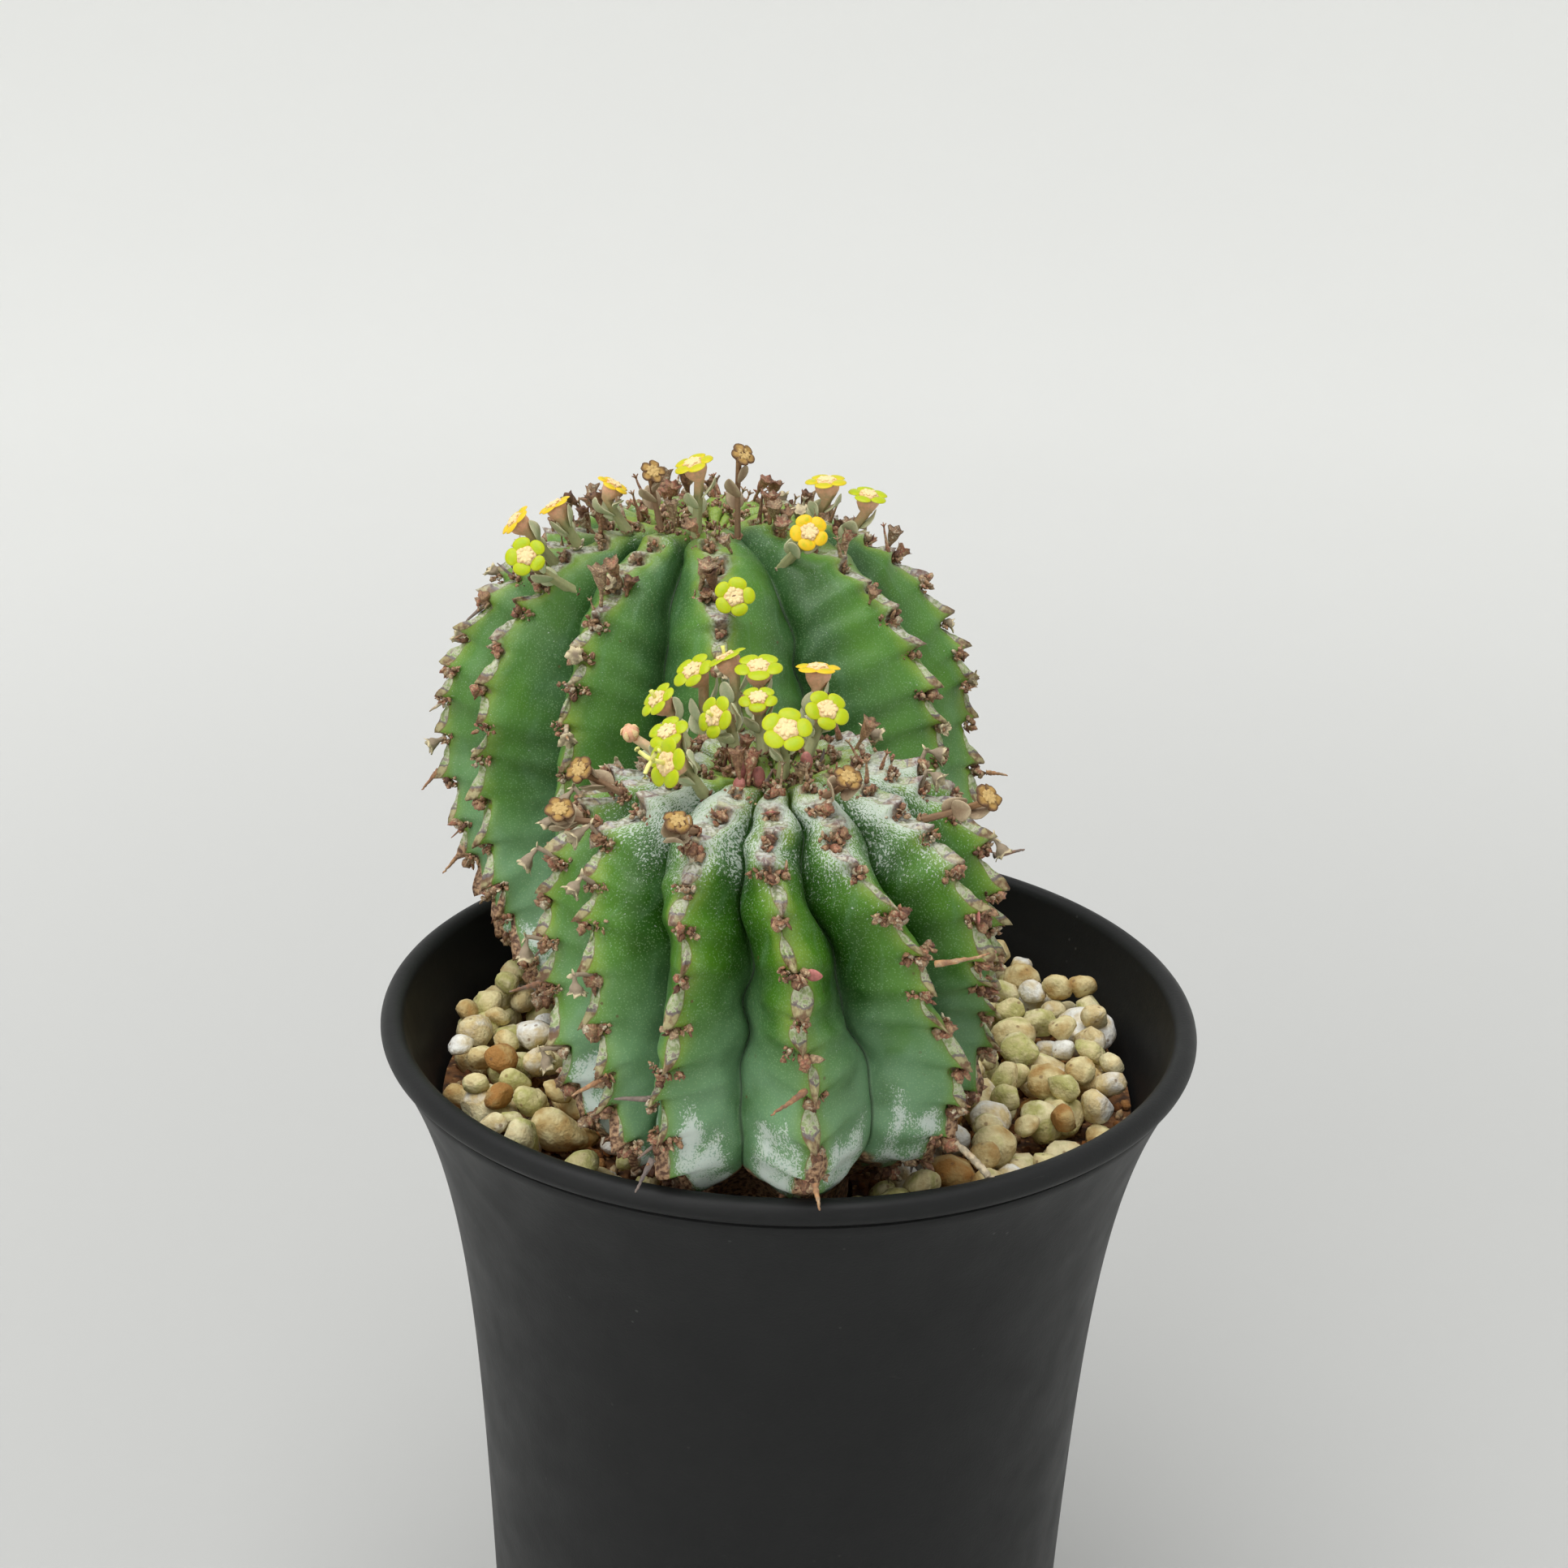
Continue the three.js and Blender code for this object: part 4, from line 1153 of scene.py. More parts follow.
def loose_pebbles():
    """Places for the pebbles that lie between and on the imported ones, as (x, y, z, radius).

    Each is dropped at random, sinks a little between those under it, and is left out where it
    would reach the rim, a stem or the patch of bare soil at the left.
    """
    draw = np.random.default_rng(5)
    lying = []
    for name in numbered_nodes("pebble"):
        points = node_points(name)
        low, high = points.min(0), points.max(0)
        lying.append((*((low + high) / 2), float(np.mean(high[:2] - low[:2]) / 2)))
    packed = len(lying)
    for _ in range(settings().pot.pebble_count):
        radius = draw.uniform(1.5, 3.2)
        wall = float(pot_inside(SOIL_DEPTH)) - PIECE_GAP - radius
        out, turn = wall * math.sqrt(draw.random()), draw.uniform(0, 2 * math.pi)
        x, y = out * math.sin(turn), -out * math.cos(turn)
        known = np.array(lying)
        apart = np.hypot(known[:, 0] - x, known[:, 1] - y)
        reach = (radius + known[:, 3]) * 0.9
        on = apart < reach
        height = -SOIL_DEPTH + radius * 0.68
        if on.any():
            rest = known[on, 2] + np.sqrt(reach[on] ** 2 - apart[on] ** 2) * 0.8
            height = max(height, float(rest.max()))
        patch = math.hypot(x - BARE_SOIL[0], y - BARE_SOIL[1])
        if height + radius > -1.6 or patch < BARE_SOIL[2]:
            continue
        free = True
        for stem in (FRONT_STEM, MAIN_STEM):
            cx, cy = stem_centre(stem, height + radius)
            side, _ = barrel(stem, stem["lowest"], 1, 0)
            apart = math.hypot(x - float(cx), y - float(cy)) - radius
            under = stem["neck"] + (height + radius + SOIL_DEPTH) / 7.2 * (float(side) - stem["neck"])
            free = free and apart > under + 0.3
        if free:
            lying.append((x, y, height, radius))
    return np.array(lying[packed:])


# The stems


def barrel(stem, level, width, sink):
    """The barrel's profile at levels in degrees: distance out and height."""
    level = np.asarray(level, float)
    turn = np.radians(level)
    power = np.where(level >= 0, stem["dome"], stem["foot"])
    tall = np.where(level >= 0, stem["rise"], stem["drop"]) - sink
    across = (np.abs(np.cos(turn)) / (stem["radius"] * width)) ** power
    reach = (across + (np.abs(np.sin(turn)) / tall) ** power) ** (-1 / power)
    return reach * np.cos(turn), stem["waist"] + reach * np.sin(turn)


def crest_azimuths(stem, level):
    """The azimuth of every rib's crest at every level, as rows of ribs."""
    ribs = np.array(stem["ribs"], float)
    above = smoothstep(level, 12, 45)[:, None]
    below = 1 - smoothstep(level, -25, 12)[:, None]
    foot, waist, shoulder = ribs.T
    return waist + (shoulder - waist) * above + (foot - waist) * below


def pressed(stem, points):
    """Flattens the skin where the two stems touch."""
    across = unit(np.array([MAIN_STEM["x"] - FRONT_STEM["x"], MAIN_STEM["y"] - FRONT_STEM["y"]]))
    height = points[..., 2]
    reach = (points[..., 0] - FRONT_STEM["x"]) * across[0] + (points[..., 1] - FRONT_STEM["y"]) * across[1]
    face = 19.9 + 0.27 * np.minimum(0, height - 22) - 0.15 * np.maximum(0, height - 22)
    if stem is FRONT_STEM:
        move = np.minimum(0, face - 0.3 - reach)
    else:
        move = np.maximum(0, face + 0.3 - reach)
    made = points.copy()
    made[..., :2] += move[..., None] * across
    return made


def inside_rim(points):
    """Keeps the skin clear of the pot's wall and lip."""
    height = points[..., 2]
    wall = pot_inside(np.maximum(0, -height)) - 0.55
    limit = np.where(height > 0, 41.2 + 1.2 * height, np.minimum(wall, 41.2))
    out = np.hypot(points[..., 0], points[..., 1])
    scale = np.where((out > limit) & (height < 5), limit / np.maximum(out, 1e-9), 1)
    made = points.copy()
    made[..., :2] *= scale[..., None]
    return made


class StemSkin:
    """A stem's skin as a grid of points: rows run down from the apex, columns round the ribs.

    travel and level hold the millimetres and degrees down the crests for each row, depth and own
    the share of the way into the valley and the nearest rib for each column.
    """

    def __init__(self, stem):
        self.stem, self.seed = stem, stem["seed"]
        self.draw = np.random.default_rng(self.seed)
        self.lay_rows()
        self.lay_columns()
        self.bend_ribs()
        self.face_outwards()
        self.count_teeth()
        free = self.rumpled(self.toothed())
        self.points = inside_rim(pressed(stem, free))
        self.moved = np.linalg.norm(self.points - free, axis=-1)
        spread = np.broadcast_to
        shape = self.turn.shape
        run = spread(self.travel[:, None], shape)
        grain = np.stack([20 * np.sin(self.turn), -20 * np.cos(self.turn), run], -1) / 1000
        self.skin = {
            "crest": self.crest, "tooth": self.tooth, "valley": spread(self.depth, shape),
            "level": spread(self.level[:, None] / 90, shape), "wax": self.wax(),
            "cork": self.cork(), "grain": grain,
        }

    def swell(self, size, own):
        """A smooth random swell over the bare ribs."""
        return ripple(self.base, size, self.seed + own)

    def below(self, start, end):
        """0 to 1 for each row from one level below the waist to another."""
        return smoothstep(-self.level, start, end)[:, None]

    def along(self, start, end):
        """0 to 1 for each row between two distances from the apex."""
        return smoothstep(self.travel, start, end)[:, None]

    def lay_rows(self):
        """Rows an even distance apart down the crests."""
        fine = np.linspace(APEX_LEVEL, self.stem["lowest"], 1600)
        out, height = barrel(self.stem, fine, 1, 0)
        run = np.concatenate([[0], np.cumsum(np.hypot(np.diff(out), np.diff(height)))])
        self.travel = np.linspace(0, run[-1], self.stem["rows"])
        self.level = np.interp(self.travel, run, fine)

    def lay_columns(self):
        """Columns round each rib, closer together on its crest and in its valleys."""
        count = len(self.stem["ribs"])
        step = np.arange(count * RIB_COLUMNS) / RIB_COLUMNS
        self.rib = np.floor(step).astype(int)
        part = step - self.rib
        part = part - 0.45 * np.sin(4 * np.pi * part) / (4 * np.pi)
        crests = crest_azimuths(self.stem, self.level)
        crests = np.hstack([crests, crests[:, :1] + 360])
        self.azimuth = crests[:, self.rib] * (1 - part) + crests[:, self.rib + 1] * part
        self.turn = np.radians(self.azimuth)
        self.depth = 1 - np.abs(2 * part - 1)
        self.own = np.where(part < 0.5, self.rib, self.rib + 1) % count

    def bend_ribs(self):
        """Bare ribs between a barrel through the crests and a slimmer one through the valleys."""
        stem, level, depth, lowest = self.stem, self.level, self.depth, -self.stem["lowest"]
        sharp = 0.10 * (1 - np.exp(-depth / 0.06)) + 0.75 * depth**1.12 + 0.15 * depth**10
        round_top = 0.42 * depth**2.1 + 0.58 * depth**8
        shoulder = smoothstep(level, 34, 66)[:, None]
        weight = 1 - (sharp * (1 - shoulder) + round_top * shoulder)
        arch = self.below(lowest - 12, lowest)
        weight = weight - 0.62 * arch * smoothstep(depth, 0.2, 0.75)
        crest_out, crest_high = (v[:, None] for v in barrel(stem, level, 1, 0))
        inner = barrel(stem, level, VALLEY_SHARE, VALLEY_SINK)
        valley_out, valley_high = (v[:, None] for v in inner)
        filled = 0.42 * self.below(12, 42)
        valley_out = valley_out + (crest_out - valley_out) * filled
        valley_high = valley_high + (crest_high - valley_high) * filled
        swell = np.cos(np.radians(self.azimuth - stem["swell_azimuth"]))
        swell = swell * np.clip(-level / 60, 0, 1)[:, None]
        out = (valley_out + (crest_out - valley_out) * weight) * (1 + stem["swell"] * swell)
        high = valley_high + (crest_high - valley_high) * weight
        high = high - APEX_DIP * np.exp(-((out / 3.6) ** 2))
        cx, cy = stem_centre(stem, high)
        self.out, self.crest_out, self.crest_high = out, crest_out[:, 0], crest_high[:, 0]
        self.base = np.stack([cx + out * np.sin(self.turn), cy - out * np.cos(self.turn), high], -1)

    def face_outwards(self):
        """The ways out, down and sideways at every point, and how far each is from a crest."""
        sine, cosine, base = np.sin(self.turn), np.cos(self.turn), self.base
        down_slope = np.gradient(self.crest_high, self.travel)[:, None]
        out_slope = np.gradient(self.crest_out, self.travel)[:, None]
        level = np.broadcast_to(out_slope, sine.shape)
        facing = np.stack([-down_slope * sine, down_slope * cosine, level], -1)
        steep = np.broadcast_to(down_slope, sine.shape)
        down = np.stack([out_slope * sine, -out_slope * cosine, steep], -1)
        self.facing, self.down = unit(facing), unit(down)
        self.side = np.stack([cosine, sine, np.zeros_like(sine)], -1)
        left = base[:, self.rib * RIB_COLUMNS]
        right = base[:, ((self.rib + 1) % len(self.stem["ribs"])) * RIB_COLUMNS]
        apart = (np.linalg.norm(base - end, axis=-1) for end in (left, right))
        self.crest = np.minimum(*apart)
        across = unit(np.roll(base, -1, 1) - np.roll(base, 1, 1))
        self.normal = unit(np.cross(across, -unit(np.gradient(base, axis=0))))

    def count_teeth(self):
        """The running number of teeth down each rib, with a pitch that wavers."""
        count, travel = len(self.stem["ribs"]), self.travel
        grown = settings().stem.tooth_pitch * 1000
        pitch = YOUNG_PITCH + (grown - YOUNG_PITCH) * smoothstep(travel, 1, 17)
        waver = np.sin(travel[:, None] / 3.1 + self.draw.uniform(0, 6.3, count))
        pitch = pitch[:, None] * (1 + 0.16 * waver)
        gaps = np.diff(travel, prepend=travel[0])[:, None] / pitch
        self.teeth = np.cumsum(gaps, axis=0) + self.draw.uniform(0, 1, count) + 1
        self.tooth = self.teeth[:, self.own]

    def toothed(self):
        """The ribs with their teeth raised, hanging over a little and leaning left and right."""
        phase = self.tooth % 1
        rise = np.clip(phase / NOSE, 0, 1)
        fall = np.clip((phase - NOSE) / 0.2, 0, 1)
        form = (0.45 * rise + 0.55 * rise**1.7) * (0.5 + 0.5 * np.cos(np.pi * fall))
        form = form - 0.12 * fall * (1 - phase) / 0.1
        knots = np.arange(60) + 0.3
        count = self.teeth.shape[1]
        vigour = [
            np.interp(self.teeth[:, i], knots, self.draw.uniform(0.5, 1.25, 60)) for i in range(count)
        ]
        strength = (0.30 + 0.70 * self.along(4, 17)) * np.stack(vigour, 1)[:, self.own]
        lowest = -self.stem["lowest"]
        self.strength = strength * (1 - 0.75 * self.below(lowest - 14, lowest))
        near = np.exp(-((self.crest / (1.35 - 0.35 * np.clip(form, 0, 1))) ** 2))
        wide = np.exp(-((self.crest / 3.6) ** 2))
        tall = settings().stem.tooth_height * 1000
        push = tall * self.strength * ((form - 0.85) * near + 0.20 * (form - 0.6) * wide)
        push = push + 0.16 * self.swell(1.4, 9) * near * self.along(2, 8)
        points = self.base + self.facing * (push * (1 - self.depth**5))[..., None]
        hang = 0.30 * tall * self.strength * np.clip(form, 0, 1) ** 3 * near
        points = points + self.down * hang[..., None]
        sway = 0.5 * np.sin(np.pi * self.teeth + self.draw.uniform(0, 6.3, count))[:, self.own]
        sway = sway * np.exp(-((self.crest / 3) ** 2))
        return points + self.side * (sway * self.along(3, 12))[..., None]

    def rumpled(self, points):
        """The points with furrows that run up the flanks, soft lumps and winding valleys."""
        depth = self.depth
        furrow = np.sin(2 * np.pi * (self.tooth - 0.30 - 0.35 * depth))
        furrow = furrow * (4 * depth * (1 - depth)) ** 1.2
        furrow = furrow * (0.14 + 0.10 * self.swell(14, 7)) * self.along(6, 16)
        lumps = 0.34 * self.swell(10, 0) + 0.13 * self.swell(3.6, 1)
        bend = (0.55 * ripple(self.base * (1, 1, 1.2), 6.5, self.seed + 2))[..., None] * self.side
        bend = bend * (depth**3)[None, :, None] * smoothstep(self.out, 3, 9)[..., None]
        relief = (furrow + lumps * (1 - depth**5)) * self.along(0.5, 5)
        return points + bend + self.normal * relief[..., None]

    def wax(self):
        """Wax round the tip and in patches above the foot."""
        depth, level = self.depth, self.level[:, None]
        wax = smoothstep(level, *self.stem["wax"]) * (0.80 + 0.34 * self.swell(7, 3))
        wax = wax * (1 - 0.35 * smoothstep(self.crest, 0.5, 4)) * smoothstep(depth, 1.0, 0.9)
        wax = wax * (1 - 0.75 * smoothstep(level, 60, 76))
        edge = -24 + 6 * self.swell(8, 4)
        foot = smoothstep(level, edge, edge - 8) * smoothstep(level, -58, -47)
        foot = foot * smoothstep(depth, 0.05, 0.3) * smoothstep(depth, 0.98, 0.6)
        foot = foot * smoothstep(self.swell(13, 5), -0.7, 0.0)
        return np.maximum(wax, 1.1 * foot * (0.7 + 0.3 * self.swell(2.4, 6)))

    def cork(self):
        """Cork round the lowest rows and on the crests above them."""
        lowest = -self.stem["lowest"]
        bare = 15 * smoothstep(self.depth, 0.1, 0.9) - self.level[:, None] + 4 * self.swell(4, 8)
        cork = smoothstep(bare, lowest - 2, lowest + 6)
        crest = smoothstep(self.crest + 0.5 * ripple(self.base, 2, 3), 1.7, 0.6)
        return np.maximum(cork, 0.95 * self.below(lowest - 42, lowest - 24) * crest)


def stem_mesh(stem):
    """The skin from the apex to the sunken neck, closed at both ends."""
    form = StemSkin(stem)
    last = form.points[-1]
    sides = len(last)
    turn = np.radians(crest_azimuths(stem, np.array([stem["lowest"]]))[0])
    turn = np.append(turn, turn[0] + 2 * np.pi)
    turn = np.interp(np.arange(sides) / RIB_COLUMNS, np.arange(len(turn)), turn)
    ends = (
        (-SOIL_DEPTH + PIECE_GAP, stem["neck"]),
        (-SOIL_DEPTH - SOCKET_DEPTH + 2 * PIECE_GAP, stem["neck"] * 0.9),
    )
    necks = []
    for height, radius in ends:
        x, y = stem_centre(stem, height)
        high = np.full(sides, height)
        necks.append(np.stack([x + radius * np.sin(turn), y - radius * np.cos(turn), high], -1))
    rings = [form.points]
    inwards = necks[0] - last
    for row in range(1, NECK_ROWS + 1):
        part = row / NECK_ROWS
        bulge = inwards * (1, 1, 0) * 0.35 * math.sin(math.pi * part)
        rings.append((last + inwards * part + bulge)[None])
    rings.append(necks[1][None])
    x, y = stem_centre(stem, -SOIL_DEPTH - SOCKET_DEPTH)
    bottom = (float(x), float(y), -SOIL_DEPTH - SOCKET_DEPTH + PIECE_GAP)
    points, faces = loft(np.vstack(rings)[::-1], bottom, form.points[0].mean(0) - (0, 0, 0.05))
    attributes = {}
    for key, grid in form.skin.items():
        neck = np.repeat(grid[-1:], NECK_ROWS + 1, 0)
        neck = np.ones_like(neck) if key == "cork" else neck
        values = np.concatenate([grid, neck])[::-1]
        flat = values.reshape(-1, 3) if values.ndim == 3 else values.ravel()
        attributes[key] = np.concatenate([flat, flat[:1], flat[-1:]])
    return plain_mesh(stem["name"] + "_stem_skin", to_frame(points), faces, None, attributes)


def tooth_spots(stem):
    """The free teeth of a stem: where their notch is, how it faces, and their size and level."""
    form = StemSkin(stem)
    spots = []
    for rib in range(len(stem["ribs"])):
        column = rib * RIB_COLUMNS
        run = form.teeth[:, rib]
        for number in range(math.ceil(run[0]), math.floor(run[-1]) + 1):
            row = float(np.interp(number + NOTCH, run, np.arange(len(run))))
            low = int(row)
            if row < 4 or row > len(run) - 3 or form.moved[low - 3:low + 4, column].max() > 0.25:
                continue
            mixed = [
                grid[low, column] * (1 - row + low) + grid[low + 1, column] * (row - low)
                for grid in (form.points, form.facing, form.down)
            ]
            size = float(form.strength[low, column])
            spots.append((*mixed[0], *mixed[1], *mixed[2], size, form.level[low], rib, number))
    table = np.array(spots)
    return {
        "point": table[:, :3], "facing": table[:, 3:6], "down": table[:, 6:9], "size": table[:, 9],
        "level": table[:, 10], "rib": table[:, 11], "number": table[:, 12],
    }


# Scales, twigs and flowers


def scale_shapes():
    """Small dry scales and withered buds, a few dozen faces each."""
    shapes = []
    for seed in (1, 2, 3):
        pile = Pile()
        points, faces = ball(7, 3)
        points = points * (1 + 0.35 * ripple(points, 1.1, seed))[:, None] * (0.42, 0.30, 0.36)
        pile.add(points + (0, 0, 0.25), faces, 0, 0.5)
        shapes.append(pile)
    for width, curl in ((0.75, 0.25), (0.5, 0.4), (0.6, -0.3)):
        pile = Pile()
        points, faces, tone = leaf(0.95, width, 0.22, curl, 0.3, 6, 2)
        pile.add(points - (0, 0, 0.15), faces, 0, tone)
        shapes.append(pile)
    return shapes


def twig(size, draw, sides, rows, crown, thick=1.0):
    """A dry stalk on the origin along Z, with scales at its foot and prongs at its tip.

    thick is how much wider its tip is than that of a common one.
    """
    pile = Pile()
    part = np.linspace(0, 1, rows)
    bend = draw.normal(0, 0.07, 2) * size
    path = np.stack([bend[0] * part**2, bend[1] * part**2, part * size], -1)
    path[:, :2] += draw.normal(0, 0.018 * size ** 0.5, (rows, 2)) * part[:, None]
    radii = (0.36 - 0.27 * part**0.8) * (1 + draw.normal(0, 0.10, rows))
    radii = radii + radii[0] * part * (thick - 1)
    radii[-1] = 0.07
    pile.add(*tube(path, radii, sides), 0, np.repeat(0.5, rows * sides + 2))
    for _ in range(5):
        points, faces, tone = leaf(draw.uniform(0.5, 0.85), 0.5, 0.2, 0.15, 0.2, 6, 2)
        lean = draw.uniform(15, 40)
        pile.add(spun(points, lean, draw.uniform(0, 360), (0, 0, 0.1)), faces, 1, tone)
    for index in range(crown):
        points, faces = tube([(0, 0, 0), (0, 0.16, 0.3), (0, 0.5, 0.55)], [0.13, 0.12, 0.07], 5)
        pile.add(spun(points, 0, index * 360 / crown + 20, path[-2]), faces, 0, 0.9)
    return pile


def trumpet(size, draw):
    """A shrivelled flower that kept its cup, with a frilled mouth."""
    pile = Pile()
    sides, rows = 20, 11
    part = np.linspace(0, 1, rows)
    flat = circle(sides)
    turn = np.arange(sides) * 2 * np.pi / sides
    rings = np.zeros((rows, sides, 3))
    for row, way in enumerate(part):
        radius = 0.20 + 0.50 * smoothstep(way, 0.3, 0.75) + 0.30 * smoothstep(way, 0.84, 1)
        waves = 0.12 * np.cos(5 * turn) + 0.10 * np.sin(3 * turn + size)
        waves = waves + 0.10 * np.cos(8 * turn + 2 * size)
        frill = 1 + smoothstep(way, 0.5, 1) * waves
        rings[row, :, :2] = flat * (radius * frill)[:, None]
        rings[row, :, 2] = way * size + 0.16 * smoothstep(way, 0.8, 1) * np.cos(5 * turn)
    rings += 0.07 * ripple(rings, 0.9, 6)[..., None] * (1, 1, 0)
    bend = draw.normal(0, 0.12, 2) * size
    rings[..., 0] += bend[0] * part[:, None] ** 2
    rings[..., 1] += bend[1] * part[:, None] ** 2
    mouth = rings[-1].mean(0) - (0, 0, 0.6)
    points, faces = loft(rings, None, mouth)
    tone = np.append(np.repeat(smoothstep(part, 0.82, 0.97), sides), (0, 0.1))
    pile.add(points, faces, 0, tone)
    return pile


def drooping(size, draw):
    """A withered flower on a stalk that stands out along Z and hangs over towards +X."""
    pile = trumpet(size, draw)
    bell = pile.points[0] * (0.95, 0.95, 1)
    reach = draw.uniform(1.6, 2.8)
    angle = math.radians(draw.uniform(60, 125))
    turned_x = bell[:, 0] * math.cos(angle) + bell[:, 2] * math.sin(angle)
    turned_z = bell[:, 2] * math.cos(angle) - bell[:, 0] * math.sin(angle)
    pile.points[0] = np.stack([turned_x, bell[:, 1], turned_z + reach], -1)
    path = [(0, 0, -0.3), (0.03, 0.05, reach * 0.4), (-0.02, 0, reach * 0.8), (0, 0, reach + 0.1)]
    pile.add(*tube(path, [0.34, 0.25, 0.22, 0.24], 8), 0, 0.15)
    for index in range(2):
        points, faces, tone = leaf(0.8, 0.5, 0.15, 0.3, 0.2, 6, 3)
        pile.add(spun(points, -40, 180 * index + draw.uniform(0, 90), (0, 0, reach)), faces, 0, tone)
    return pile


def bud(size, draw):
    """A closed rosy flower bud on its stalk."""
    pile = Pile()
    path = [(0, 0, -0.1), (0.05, 0, size * 0.5), (0, 0, size - 1.0)]
    pile.add(*tube(path, [0.62, 0.5, 0.45], 14), 2, 0.5)
    points, faces = ball(20, 12)
    swell = 1 + 0.05 * np.cos(5 * np.arctan2(points[:, 1], points[:, 0]))
    swell = swell + 0.04 * ripple(points, 1.2, 3)
    points = points * swell[:, None] * (0.84, 0.84, 0.95)
    pile.add(points + (0, 0, size - 0.7), faces, 2, 0.75 + 0.45 * np.cos(points[:, 2] * 1.6))
    for index in range(5):
        points, faces, tone = leaf(0.9, 0.6, 0.2, -0.35, 0.3, 8, 5)
        points = points + (0, 0.85, size - 0.75)
        pile.add(spun(points, 0, 72 * index), faces, 1, tone * 0.5)
    for index in range(2):
        points, faces, tone = leaf(1.9, 1.4, 0.22, 0.35, 0.4, 12, 8)
        points = spun(points, -25) + (0, 0.5, size * 0.35)
        pile.add(spun(points, 0, 150 * index + draw.uniform(0, 60)), faces, 3, tone)
    return pile


def add_glands(pile, size, radius, tilt, dry, draw):
    """Adds the rounded glands that make a flower's face."""
    for index in range(GLANDS):
        points, faces = ball(16, 9)
        if dry:
            wither = draw.uniform(0.8, 1.15)
            half = (radius * 0.46 * wither, radius * 0.50 * wither, 0.26)
        else:
            wither = draw.uniform(0.95, 1.05)
            half = (radius * 0.345 * wither, radius * 0.435 * wither, 0.13)
        spot = points * half
        rim = np.clip(np.hypot(points[:, 0], points[:, 1]), 0, 1)
        dish = 0.22 * rim**2 if dry else 0.10 * (1 - rim**2)
        spot[:, 2] += dish - 0.09 * (points[:, 0] > 0) * points[:, 0] ** 2
        if dry:
            spot += 0.10 * ripple(spot, 0.9, int(draw.integers(1e6)))[:, None] * (0.6, 0.6, 1)
        spot[:, 0] += radius - half[0]
        turn = tilt + 360 / GLANDS * index
        pile.add(spun(spot, 0, turn, (0, 0, size + 0.12)), faces, 0, rim ** (1.6 if dry else 3))


def add_centre(pile, size, cup, tilt, draw):
    """Adds a flower's domed middle with the small scales round it."""
    points, faces = ball(20, 8)
    dome = points * (cup * 0.84, cup * 0.84, 0.38)
    around = np.arctan2(points[:, 1], points[:, 0]) - math.radians(tilt) - math.pi / 5
    dome[:, :2] *= (1 + 0.10 * np.cos(5 * around))[:, None]
    dome[:, 2] += 0.07 * ripple(dome, 0.8, int(draw.integers(1e6)))
    tone = np.clip(np.hypot(*points[:, :2].T) ** 3 * 0.6, 0, 1)
    pile.add(dome + (0, 0, size + 0.14), faces, 1, tone)
    for index in range(10):
        points, faces, tone = leaf(0.62, 0.58, 0.26, 0.12, 0.1, 8, 4)
        lean = 62 + 10 * (index % 2)
        spot = spun(spun(points, -lean) + (0, cup * 0.28, 0), 0, tilt + 36 * index)
        pile.add(spot + (0, 0, size + 0.30), faces, 1, tone**2 * 0.6)


def add_middle(pile, size, kind, draw):
    """Adds what stands in a flower's middle: a pistil, a style with three arms or a slit."""
    if kind == "pistil":
        points, faces = tube([(0, 0, 0), (0.1, 0, 0.5), (0.25, 0.05, 1.0)], [0.22, 0.17, 0.24], 8)
        pile.add(points + (0, 0, size + 0.3), faces, 0, 1.45)
        return
    points, faces = ball(8, 4)
    slit = spun(points * (0.30, 0.09, 0.06), 0, draw.uniform(0, 180), (0, 0, size + 0.43))
    pile.add(slit, faces, 4, 0.2)
    if kind == "style":
        points, faces = tube([(0, 0, 0), (0.1, 0, 0.8), (0.15, 0, 1.7)], [0.26, 0.22, 0.22], 8)
        pile.add(points + (0, 0, size + 0.3), faces, 0, 2.0)
        path = [(0, 0, 0), (0, 0.55, 0.45), (0, 1.3, 0.75), (0, 1.75, 0.7)]
        for index in range(3):
            points, faces = tube(path, [0.24, 0.21, 0.20, 0.30], 7)
            pile.add(spun(points, 0, 120 * index + 15, (0.15, 0, size + 1.9)), faces, 0, 2.0)


def add_leaves(pile, start, neck, draw):
    """Adds the bracts up a flower's stalk and the husks round its foot."""
    room = np.clip(start, 0.8, 3)
    for index in range(3):
        points, faces, tone = leaf(1.5 + 0.36 * room, 2.1, 0.22, 0.1, 0.7, 12, 8)
        turn = draw.uniform(0, 40) + 120 * index
        lift = start * (0.38 + 0.17 * index)
        points = spun(points, -draw.uniform(12, 34)) + (0, neck * 0.85, lift)
        pile.add(spun(points, 0, turn), faces, 3, tone)
    for index in range(6):
        points, faces, tone = leaf(draw.uniform(0.6, 0.95), 0.7, 0.2, 0.1, 0.2, 6, 2)
        points = spun(points, -draw.uniform(20, 60)) + (0, neck * 0.7, 0.05)
        pile.add(spun(points, 0, 60 * index + draw.uniform(0, 30)), faces, 4, tone)


